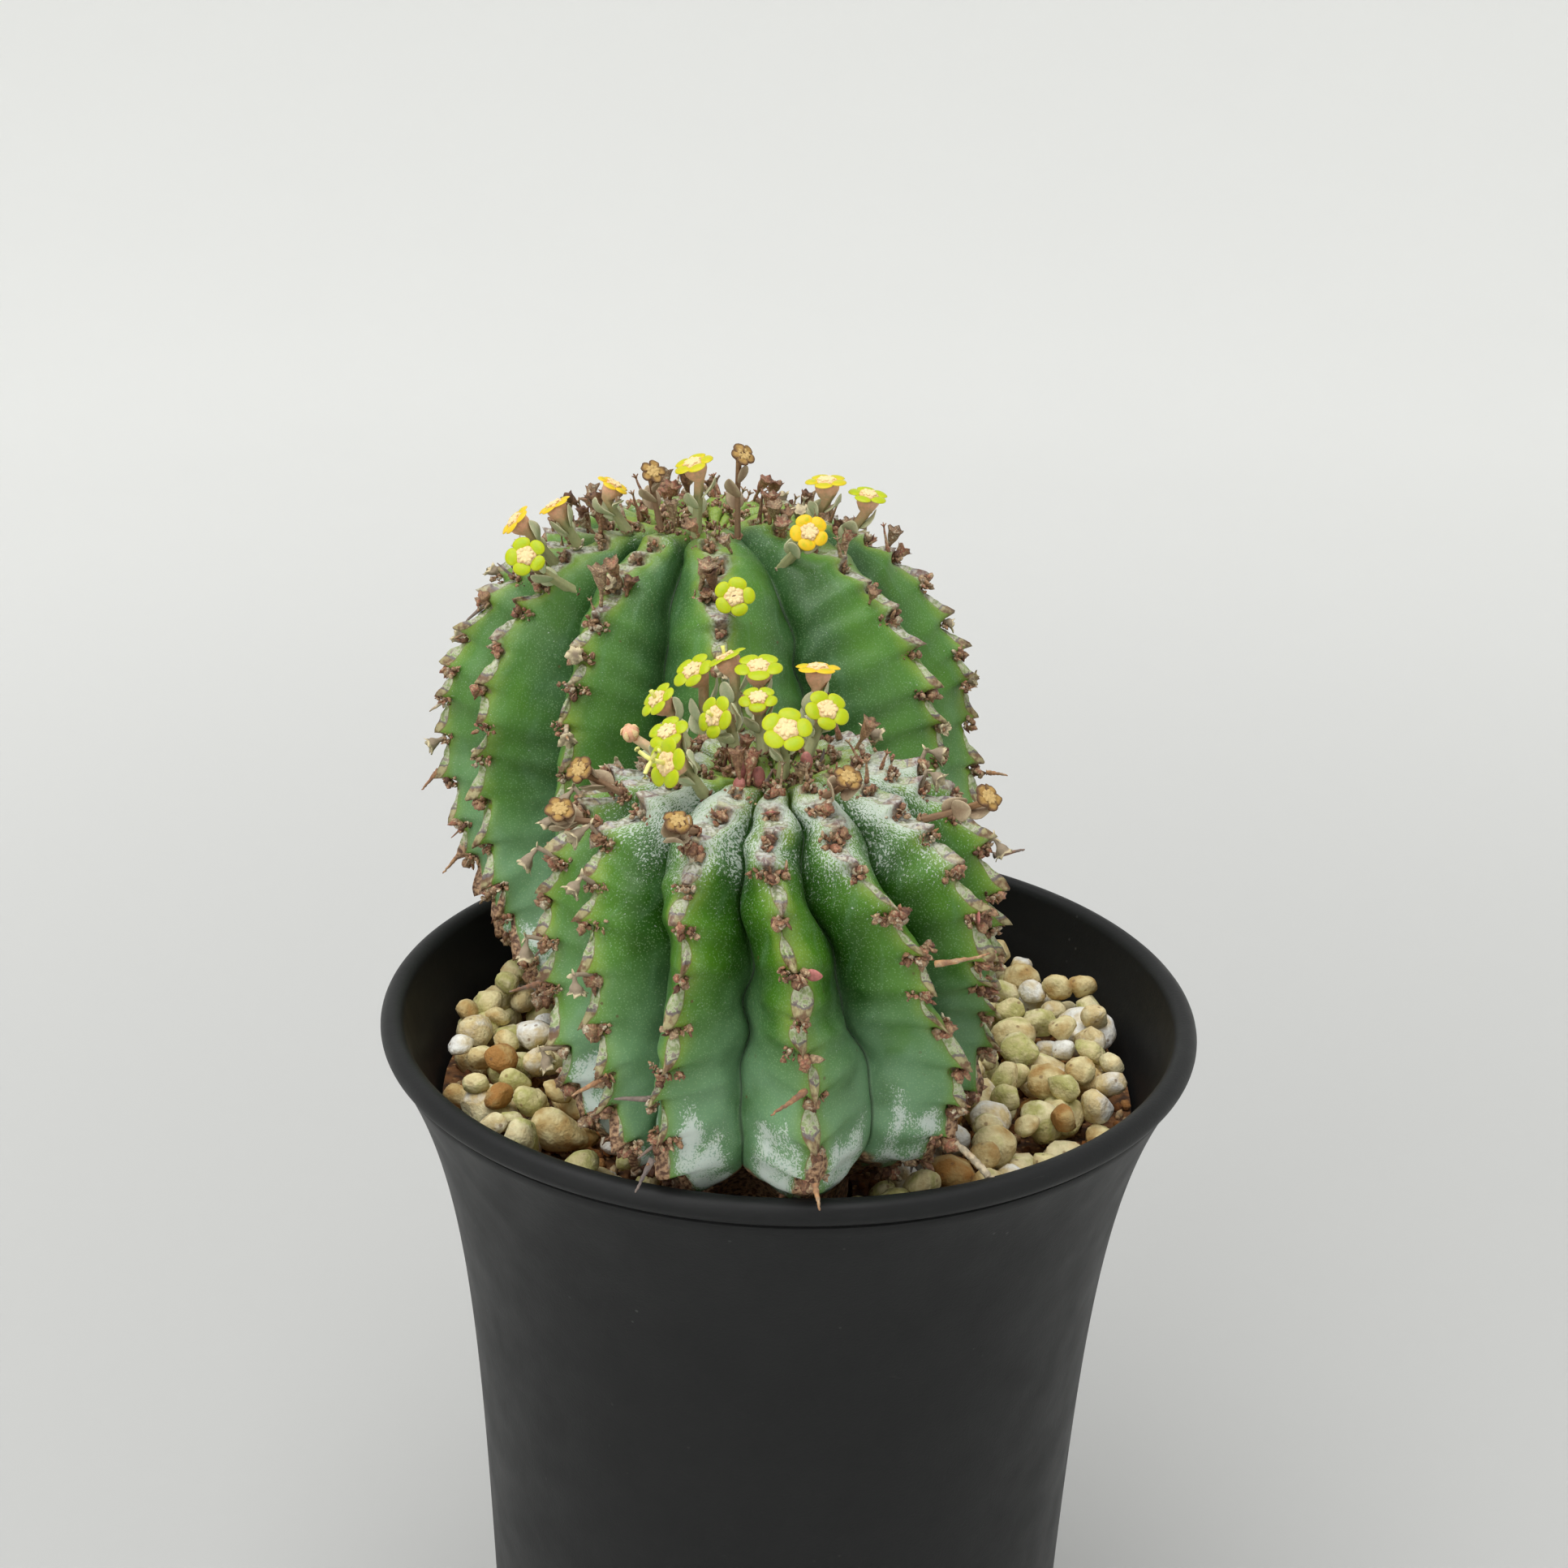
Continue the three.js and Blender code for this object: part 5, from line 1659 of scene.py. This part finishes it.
def flower(size, draw, radius, kind):
    """A flower on its stalk along Z, with its face at the given height.

    Finishes are 0 gland, 1 centre, 2 cup, 3 bract and 4 husk.
    """
    pile = Pile()
    dry = kind == "dry"
    cup, neck, deep = (0.5, 0.32, 0.6) if dry else (0.57, 0.55, 0.86)
    cup *= radius
    start = max(size - radius * deep, 0.35 * size)
    outline = [
        (0, -0.1), (neck * 1.25, 0), (neck * 1.1, min(0.5, 0.3 * start)), (neck * 0.9, start * 0.6),
        (neck * 1.05, start), (cup * 0.72, start + (size - start) * 0.28),
        (cup * 0.93, start + (size - start) * 0.58), (cup * 0.98, size - 0.3), (cup * 0.9, size - 0.02),
        (cup * 0.8, size + 0.08), (0, size + 0.1),
    ]
    points, faces = turned(outline, 20, 0.09)
    pile.add(points, faces, 2, np.clip(points[:, 2] / size, 0, 1) ** 2)
    tilt = draw.uniform(0, 360 / GLANDS)
    add_glands(pile, size, radius, tilt, dry, draw)
    add_centre(pile, size, cup, tilt, draw)
    if not dry:
        add_middle(pile, size, kind, draw)
    add_leaves(pile, start, neck, draw)
    return pile


def faced(pile, foot, head, size, pivot, aim):
    """A flower's points on its stem, with its head bent to look along a direction."""
    pile.points = [
        nodded(points, size, max(pivot, 0.5), head - foot, aim) for points in pile.points
    ]
    return to_frame(pile.moved(foot, head - foot))


def seen_aim(away, around):
    """The direction that leans so many degrees away from the camera, some way round its view."""
    view = np.array(photo_view())[:3, :3]
    tilt, turn = math.radians(away), math.radians(around)
    lean = math.sin(tilt)
    return view @ (lean * math.cos(turn), lean * math.sin(turn), math.cos(tilt))


def tint_mesh(mesh, value):
    """Gives a mesh the shade, from 0 to 1, that its finish reads."""
    made = mesh.attributes.new("tint", "FLOAT", "POINT")
    made.data.foreach_set("value", np.full(len(mesh.vertices), value, np.float32))
    return mesh


# Operators


class BARREL_OT_pot(bpy.types.Operator):
    """Turn the black pot with its rolled lip and drain holes"""

    bl_idname = "barrel.pot"
    bl_label = "Pot"

    def execute(self, context):
        look = settings().pot
        drains = []
        for index in range(DRAIN_COUNT):
            turn = index * 2 * math.pi / DRAIN_COUNT
            x, y = DRAIN_RING * math.sin(turn), -DRAIN_RING * math.cos(turn)
            drains.append((x, y, look.drain_radius * 1000, -RIM_LEVEL - 4.3, -RIM_LEVEL + 6.1))
        finish = plastic_finish(look)
        mesh = turned_piece("pot_shell", pot_outline(), look.sides, drains, finish, (9, 0, 1))
        show("pot_shell", mesh, [], "pot_plastic", "pot")
        return {"FINISHED"}


class BARREL_OT_soil(bpy.types.Operator):
    """Fill the pot with soil and strew grains on it"""

    bl_idname = "barrel.soil"
    bl_label = "Soil"

    def execute(self, context):
        bottom = FLOOR + PIECE_GAP - RIM_LEVEL
        outline = [(0, bottom), (float(pot_inside(-bottom)) - PIECE_GAP - 2.6, bottom)]
        for depth in np.linspace(-bottom - 2, SOIL_DEPTH + 0.6, 30):
            outline.append((float(pot_inside(depth)) - PIECE_GAP, -depth))
        edge = float(pot_inside(SOIL_DEPTH)) - 2 * PIECE_GAP
        outline += [(float(radius), -SOIL_DEPTH) for radius in np.linspace(edge, 0, 56)]
        sockets = []
        for stem in (FRONT_STEM, MAIN_STEM):
            x, y = stem_centre(stem, -SOIL_DEPTH - SOCKET_DEPTH)
            sockets.append((float(x), float(y), stem["neck"] + 0.5, -SOIL_DEPTH - SOCKET_DEPTH, 3))
        finish = soil_finish(settings().pot)
        mesh = turned_piece("soil_bed", outline, 160, sockets, finish, (-SOIL_DEPTH - 0.1, 0.8, 2.2))
        show("soil_bed", mesh, [], "soil", "soil")

        draw = np.random.default_rng(31)
        turn = draw.uniform(0, 2 * math.pi, GRAIN_COUNT)
        out = edge * np.sqrt(draw.random(GRAIN_COUNT)) * 0.985
        high = np.full(GRAIN_COUNT, -SOIL_DEPTH + 0.3)
        points = np.stack([out * np.sin(turn), -out * np.cos(turn), high], -1)
        keep = np.ones(len(points), bool)
        for x, y, radius, _, _ in sockets:
            keep &= np.hypot(points[:, 0] - x, points[:, 1] - y) > radius + 0.8
        points = points[keep]
        grains = [pebble_shape(draw, 6, 2) for _ in range(4)]
        scatter(
            "soil_grains", "soil", points, np.tile((0.0, 0.0, 1.0), (len(points), 1)), 1.0,
            grains, grain_finish(), 1, 0.0002, 2.0, 0.35, 0.95, 3,
        )
        return {"FINISHED"}


class BARREL_OT_gravel(bpy.types.Operator):
    """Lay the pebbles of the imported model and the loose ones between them"""

    bl_idname = "barrel.gravel"
    bl_label = "Gravel"

    def execute(self, context):
        finish = stone_finish()
        draw = np.random.default_rng(8)
        for index, name in enumerate(numbered_nodes("pebble")):
            corners = node_points(name)
            centre = (corners.min(0) + corners.max(0)) / 2
            _, ways = np.linalg.eigh(np.cov((corners - centre).T))
            if np.linalg.det(ways) < 0:
                ways[:, 0] *= -1
            reach = np.abs((corners - centre) @ ways).max(0)
            points, faces = ball(28, 20)
            placed = (worn(points, draw, 8) * reach) @ ways.T + centre
            mesh = plain_mesh(name, to_frame(placed), faces)
            tint_mesh(mesh, float(draw.choice(STONE_TINTS)))
            show(numbered("pebble_stone", index), mesh, [finish], "gravel", name)
        spots = loose_pebbles()
        shapes = [pebble_shape(draw) for _ in range(6)]
        upwards = np.tile((0.0, 0.0, 1.0), (len(spots), 1))
        scatter(
            "gravel_bed", "gravel", spots[:, :3], upwards, spots[:, 3], shapes, finish,
            1, 0.0, 0.5, 0.97, 1.06, 9,
        )
        return {"FINISHED"}


class BARREL_OT_stems(bpy.types.Operator):
    """Grow the ribbed skins of both stems"""

    bl_idname = "barrel.stems"
    bl_label = "Stems"

    def execute(self, context):
        for stem, bloom in ((FRONT_STEM, 0.0), (MAIN_STEM, 0.20)):
            name = stem["name"] + "_stem_skin"
            finish = skin_finish(name, settings().stem, bloom)
            show(name, stem_mesh(stem), [finish], "stem_skin", stem["name"] + "_stem")
        return {"FINISHED"}


class BARREL_OT_scales(bpy.types.Operator):
    """Set a cluster of dry scales in the notch of every tooth"""

    bl_idname = "barrel.scales"
    bl_label = "Tooth Scales"

    def execute(self, context):
        finish = husk_finish()
        for stem in (FRONT_STEM, MAIN_STEM):
            spots = tooth_spots(stem)
            draw = np.random.default_rng(stem["seed"] + 50)
            low = smoothstep(-spots["level"], 18, 38)
            main = (0.74 + 0.42 * spots["size"]) * (1 + 0.55 * low) * draw.uniform(0.75, 1.2, len(low))
            side = unit(np.cross(spots["down"], spots["facing"]))
            points, facing, size = [], [], []
            for way, kept, share_of in ((0, 1.0, 1.0), (-1, 0.6, 0.62), (1, 0.6, 0.62)):
                keep = draw.random(len(main)) < kept
                lift = 0.25 - 0.45 * abs(way)
                apart = way * draw.uniform(0.9, 1.4, (len(main), 1))
                spot = spots["point"] + side * apart + lift * spots["facing"]
                spot = spot + (0.25 - 0.3 * abs(way)) * spots["down"]
                points.append(spot[keep])
                facing.append((spots["facing"] + 0.35 * spots["down"] + side * 0.8 * way)[keep])
                size.append((main * share_of * draw.uniform(0.8, 1.15, len(main)))[keep])
            points, facing, size = np.vstack(points), np.vstack(facing), np.concatenate(size)
            scatter(
                stem["name"] + "_tooth_scales", "dry_flower", points, facing, size, scale_shapes(),
                finish, stem["crumbs"], 0.00052, 1.0, 0.5, 1.35, stem["seed"],
            )
        return {"FINISHED"}


class BARREL_OT_twigs(bpy.types.Operator):
    """Stand dry stalks and thorns on the crests"""

    bl_idname = "barrel.twigs"
    bl_label = "Dry Stalks"

    def execute(self, context):
        finishes = [twig_finish(), husk_finish()]
        for stem in (FRONT_STEM, MAIN_STEM):
            for index, node_name in enumerate(numbered_nodes(stem["name"] + "_stalk")):
                draw = np.random.default_rng(stem["seed"] * 10 + index)
                tip, foot = turned_ends(node_name)
                size = float(np.linalg.norm(tip - foot))
                broad = stem is FRONT_STEM and index == 3
                pile = twig(size, draw, 10, 16, 4 if broad else 0, 1.7 if broad else 1.0)
                mesh = pile.mesh(node_name, to_frame(pile.moved(foot, tip - foot)))
                tint_mesh(mesh, STALK_TINTS[index])
                show(numbered(stem["name"] + "_twig", index), mesh, finishes, "dry_stalk", node_name)
            spots = tooth_spots(stem)
            draw = np.random.default_rng(stem["seed"] + 70)
            chance = 0.10 + 0.36 * smoothstep(-spots["level"], 5, 35)
            keep = draw.random(len(chance)) < chance
            facing = spots["facing"][keep] + 0.7 * spots["down"][keep]
            shapes = [twig(size, draw, 5, 6, 0) for size in (2.4, 1.9, 3.3, 1.3)]
            scatter(
                stem["name"] + "_dry_twigs", "dry_stalk", spots["point"][keep], facing, 1.0,
                shapes, finishes[0], 1, 0.0003, 0.9, 0.6, 1.2, stem["seed"] + 1,
            )
        return {"FINISHED"}


class BARREL_OT_trumpets(bpy.types.Operator):
    """Leave shrivelled flowers on some of the teeth"""

    bl_idname = "barrel.trumpets"
    bl_label = "Shrivelled Flowers"

    def execute(self, context):
        finish = trumpet_finish()
        spots = tooth_spots(FRONT_STEM)
        draw = np.random.default_rng(4)
        pile = Pile()
        for rib, number in DROOPING:
            at = np.flatnonzero((spots["rib"] == rib) & (spots["number"] == number))
            for spot in at:
                shape = drooping(draw.uniform(1.7, 2.3), draw)
                out = spots["facing"][spot] + (0, 0, 0.15)
                basis = axis_frame(out)
                hang = unit(np.array((0, -0.2, -1.0)) @ basis.T * (1, 1, 0))
                turn = np.array([[hang[0], hang[1], 0], [-hang[1], hang[0], 0], [0, 0, 1]])
                place = spots["point"][spot]
                shape.points = [points @ turn @ basis + place for points in shape.points]
                pile.join(shape)
        mesh = pile.mesh("front_hanging_flowers", to_frame(np.vstack(pile.points)))
        show("front_hanging_flowers", tint_mesh(mesh, 0.5), [finish], "dry_flower")
        spots = tooth_spots(MAIN_STEM)
        chance = 0.30 * smoothstep(spots["level"], -14, 8) * smoothstep(spots["level"], 75, 55)
        keep = draw.random(len(chance)) < chance
        facing = spots["facing"][keep] + 0.2 * spots["down"][keep]
        shapes = [trumpet(size, draw) for size in (2.3, 2.9, 1.9)]
        scatter(
            "main_dry_trumpets", "dry_flower", spots["point"][keep], facing, 1.0, shapes, finish,
            1, 0.0002, 0.7, 0.75, 1.1, 25,
        )
        return {"FINISHED"}


class BARREL_OT_tips(bpy.types.Operator):
    """Crowd withered heads and stalks round the stems' growing tips"""

    bl_idname = "barrel.tips"
    bl_label = "Withered Heads"

    def execute(self, context):
        finish = husk_finish()
        for stem, count, levels in ((FRONT_STEM, 20, (58, 80)), (MAIN_STEM, 92, (44, 78))):
            form = StemSkin(stem)
            draw = np.random.default_rng(stem["seed"] + 60)
            rows = np.searchsorted(-form.level, -draw.uniform(*levels, count))
            ribs = draw.integers(0, len(stem["ribs"]), count)
            columns = (ribs * RIB_COLUMNS + draw.integers(-5, 6, count)) % form.points.shape[1]
            points = form.points[rows, columns]
            facing = form.facing[rows, columns] + (0, 0, 0.7)
            shapes = [trumpet(size, draw) for size in (2.4, 3.4, 4.4)]
            shapes += [twig(size, draw, 5, 7, crown) for size, crown in ((3.0, 4), (4.6, 3), (2.2, 4))]
            scatter(
                stem["name"] + "_tip_heads", "dry_flower", points, facing, 1.0, shapes, finish,
                1, 0.0002, 0.45, 0.65, 1.1, stem["seed"] + 5,
            )
        return {"FINISHED"}


class BARREL_OT_flowers(bpy.types.Operator):
    """Stand fresh and dry flowers round the stems' tips"""

    bl_idname = "barrel.flowers"
    bl_label = "Flowers"

    def execute(self, context):
        look = settings().flower
        fresh, dry = flower_finishes(look), dry_flower_finishes()
        scale = look.radius / FRESH_RADIUS
        for stem in ("front", "main"):
            for index, name in enumerate(numbered_nodes(stem + "_flower")):
                draw = np.random.default_rng(500 + index + 50 * len(stem))
                foot, head = turned_ends(name)
                size = float(np.linalg.norm(head - foot)) - 0.35
                away, around, radius, amber, kind = HEADS[stem][index]
                if kind == "bud":
                    pile = bud(size, draw)
                else:
                    pile = flower(size, draw, radius * scale, kind)
                aim = seen_aim(away, around)
                mesh = pile.mesh(name, faced(pile, foot, head, size, size - 0.9 * radius, aim))
                tint_mesh(mesh, amber)
                show(numbered(stem + "_bloom", index), mesh, fresh, "flower", name)
            for index, name in enumerate(numbered_nodes(stem + "_dry_flower")):
                draw = np.random.default_rng(900 + index + 50 * len(stem))
                foot, head = turned_ends(name)
                size = float(np.linalg.norm(head - foot)) - 0.4
                pile = flower(size, draw, DRY_RADIUS * scale, "dry")
                aim = seen_aim(draw.uniform(15, 50), draw.uniform(40, 140))
                mesh = pile.mesh(name, faced(pile, foot, head, size, size - 1.2, aim))
                tint_mesh(mesh, float(draw.uniform(0.2, 0.7)))
                show(numbered(stem + "_dry_bloom", index), mesh, dry, "dry_flower", name)
        return {"FINISHED"}


class BARREL_OT_buds(bpy.types.Operator):
    """Set rosy buds between the front stem's flowers"""

    bl_idname = "barrel.buds"
    bl_label = "Buds"

    def execute(self, context):
        stops = [(0.0, (0.36, 0.10, 0.09)), (1.0, (0.62, 0.30, 0.24)), (0.5, (0.48, 0.17, 0.14))]
        finish = mottled_finish("rosy_bud", stops, 1.0, 0.55, 0.05)
        draw = np.random.default_rng(77)
        pile = Pile()
        for around, out, up, size in TIP_BUDS:
            turn = math.radians(around)
            x = FRONT_STEM["x"] + out * math.sin(turn)
            y = FRONT_STEM["y"] - out * math.cos(turn)
            z = FRONT_STEM["waist"] + FRONT_STEM["rise"] + up - 1.2
            points, faces = ball(14, 9)
            swell = 1 + 0.07 * ripple(points, 1.6, int(draw.integers(1e6)))
            points = points * swell[:, None] * (size, size * 0.85, size * 1.35)
            pile.add(spun(points, draw.uniform(-30, 30), around, (x, y, z)), faces, 0, 0.5)
        spots = tooth_spots(FRONT_STEM)
        for rib, number, way in ROSY:
            for spot in np.flatnonzero((spots["rib"] == rib) & (spots["number"] == number)):
                down, out = spots["down"][spot], spots["facing"][spot]
                side = unit(np.cross(down, out))
                points, faces, tone = leaf(1.7 if way else 1.1, 1.2, 0.3, 0.1, 0.3, 10, 6)
                aim = side * way + 0.5 * out + 0.6 * down * (1 - abs(way))
                points = points @ axis_frame(aim) + spots["point"][spot] + side * way * 0.6 + 0.3 * out
                pile.add(points, faces, 0, tone)
        mesh = tint_mesh(pile.mesh("front_buds", to_frame(np.vstack(pile.points))), 0.5)
        show("front_buds", mesh, [finish], "flower")
        return {"FINISHED"}


class BARREL_OT_stage(bpy.types.Operator):
    """Set the floor, the soft lights and the camera"""

    bl_idname = "barrel.stage"
    bl_label = "Stage"

    def execute(self, context):
        look = settings().stage
        outline = [(0, 0.0)]
        for part in np.linspace(0, 1, 24):
            turn = part * math.pi / 2
            up = FLOOR_CURVE * (1 - math.cos(turn))
            outline.append((FLOOR_FLAT + FLOOR_CURVE * math.sin(turn), up))
        wall = FLOOR_FLAT + FLOOR_CURVE
        outside = wall + FLOOR_THICKNESS
        outline += [(wall, WALL_HEIGHT), (outside, WALL_HEIGHT)]
        outline += [(outside, -FLOOR_THICKNESS), (0, -FLOOR_THICKNESS)]
        points, faces = turned(outline, 96)
        mesh = plain_mesh("floor", points, faces)
        if volume(mesh) < 0:
            mesh.flip_normals()
        paint = Paint("floor_paper")
        # Painted shade: the floor's colour darkens smoothly towards the middle, where the pot stands, to
        # about half.
        far = paint.add("VectorMath", {0: paint.place}, "Value", operation="LENGTH")
        shade = paint.ramp(far, 0.0, 0.95)
        base = paint.mix(shade, tuple(c * 0.53 for c in look.floor), look.floor)
        base = paint.mix(paint.both(paint.noise(60), 0.03), base, (0.5, 0.5, 0.5))
        mesh.materials.append(paint.finish(base, 0.9, paint.noise(1.5, 2), 0.01))
        floor = linked("floor", mesh)

        world = bpy.data.worlds.new("studio")
        context.scene.world = world
        world.use_nodes = True
        background = world.node_tree.nodes["Background"]
        background.inputs["Color"].default_value = (1.0, 1.0, 1.0, 1)
        background.inputs["Strength"].default_value = look.fill
        lights = (
            ("softbox", (-0.15, -0.15, 1.05), (0, 0, 0.12), 0.9, look.key_power),
            ("front_window", (-0.55, -0.95, 0.75), (0, 0, 0.13), 0.7, look.key_power * 0.35),
        )
        for name, place, target, size, watts in lights:
            lamp = bpy.data.lights.new(name, "AREA")
            lamp.shape, lamp.size, lamp.energy = "SQUARE", size, watts
            holder = linked(name, lamp)
            holder.matrix_world = facing_matrix(place, np.array(target) - place)
            holder.visible_camera = False

        camera = bpy.data.cameras.new("photo_camera")
        camera.sensor_width = SENSOR_WIDTH
        camera.lens = SENSOR_WIDTH * PHOTO_FOCAL
        camera.clip_start, camera.clip_end = 0.01, 10
        holder = linked("photo_camera", camera)
        holder.matrix_world = photo_view()
        context.scene.camera = holder
        context.scene.view_settings.view_transform = "Standard"
        return {"FINISHED"}


def facing_matrix(place, direction):
    """Stands at a place and looks along a direction, as a lamp does."""
    back = -unit(np.asarray(direction, float))
    side = unit(np.cross((0, 1, 0.001) if abs(back[2]) > 0.9 else (0, 0, 1), back))
    up = np.cross(back, side)
    made = np.eye(4)
    made[:3, 0], made[:3, 1], made[:3, 2], made[:3, 3] = side, up, back, place
    return Matrix(made.tolist())


def photo_view():
    """The place and turn of the photograph's camera."""
    pitch, yaw, roll = (math.radians(angle) for angle in PHOTO_TURN)
    ahead = np.array([
        math.sin(yaw) * math.cos(pitch), math.cos(yaw) * math.cos(pitch), -math.sin(pitch)
    ])
    level = np.array([math.cos(yaw), -math.sin(yaw), 0])
    up = np.cross(level, ahead)
    side = math.cos(roll) * level + math.sin(roll) * up
    over = math.cos(roll) * up - math.sin(roll) * level
    made = np.eye(4)
    made[:3, 0], made[:3, 1], made[:3, 2] = side, over, -ahead
    made[:3, 3] = to_frame(PHOTO_PLACE)
    return Matrix(made.tolist())


BUILDERS = (
    BARREL_OT_stage, BARREL_OT_pot, BARREL_OT_soil, BARREL_OT_gravel, BARREL_OT_stems,
    BARREL_OT_scales, BARREL_OT_twigs, BARREL_OT_trumpets, BARREL_OT_tips, BARREL_OT_flowers,
    BARREL_OT_buds,
)


class BARREL_PT_pieces(bpy.types.Panel):
    """Lists the pieces in the order in which they are built"""

    bl_idname = "BARREL_PT_pieces"
    bl_label = "Barrel Euphorbia"
    bl_space_type = "VIEW_3D"
    bl_region_type = "UI"
    bl_category = "Barrel"

    def draw(self, context):
        for builder in BUILDERS:
            self.layout.operator(builder.bl_idname)
        look = settings()
        for group in (look.pot, look.stem, look.flower, look.stage):
            box = self.layout.box()
            for key in group.__annotations__:
                box.prop(group, key)


CLASSES = (
    PotSettings, StemSettings, FlowerSettings, StageSettings, PlantSettings, *BUILDERS,
    BARREL_PT_pieces,
)


def register():
    """Makes the settings, the operators and the panel known to Blender."""
    for kind in CLASSES:
        bpy.utils.register_class(kind)
    bpy.types.Scene.barrel_euphorbia = PointerProperty(type=PlantSettings)


def unregister():
    """Takes them out again."""
    del bpy.types.Scene.barrel_euphorbia
    for kind in reversed(CLASSES):
        bpy.utils.unregister_class(kind)


def main():
    """Builds every piece in order."""
    register()
    for builder in BUILDERS:
        group, call = builder.bl_idname.split(".")
        getattr(getattr(bpy.ops, group), call)()
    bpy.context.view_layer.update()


if __name__ == "__main__":
    main()
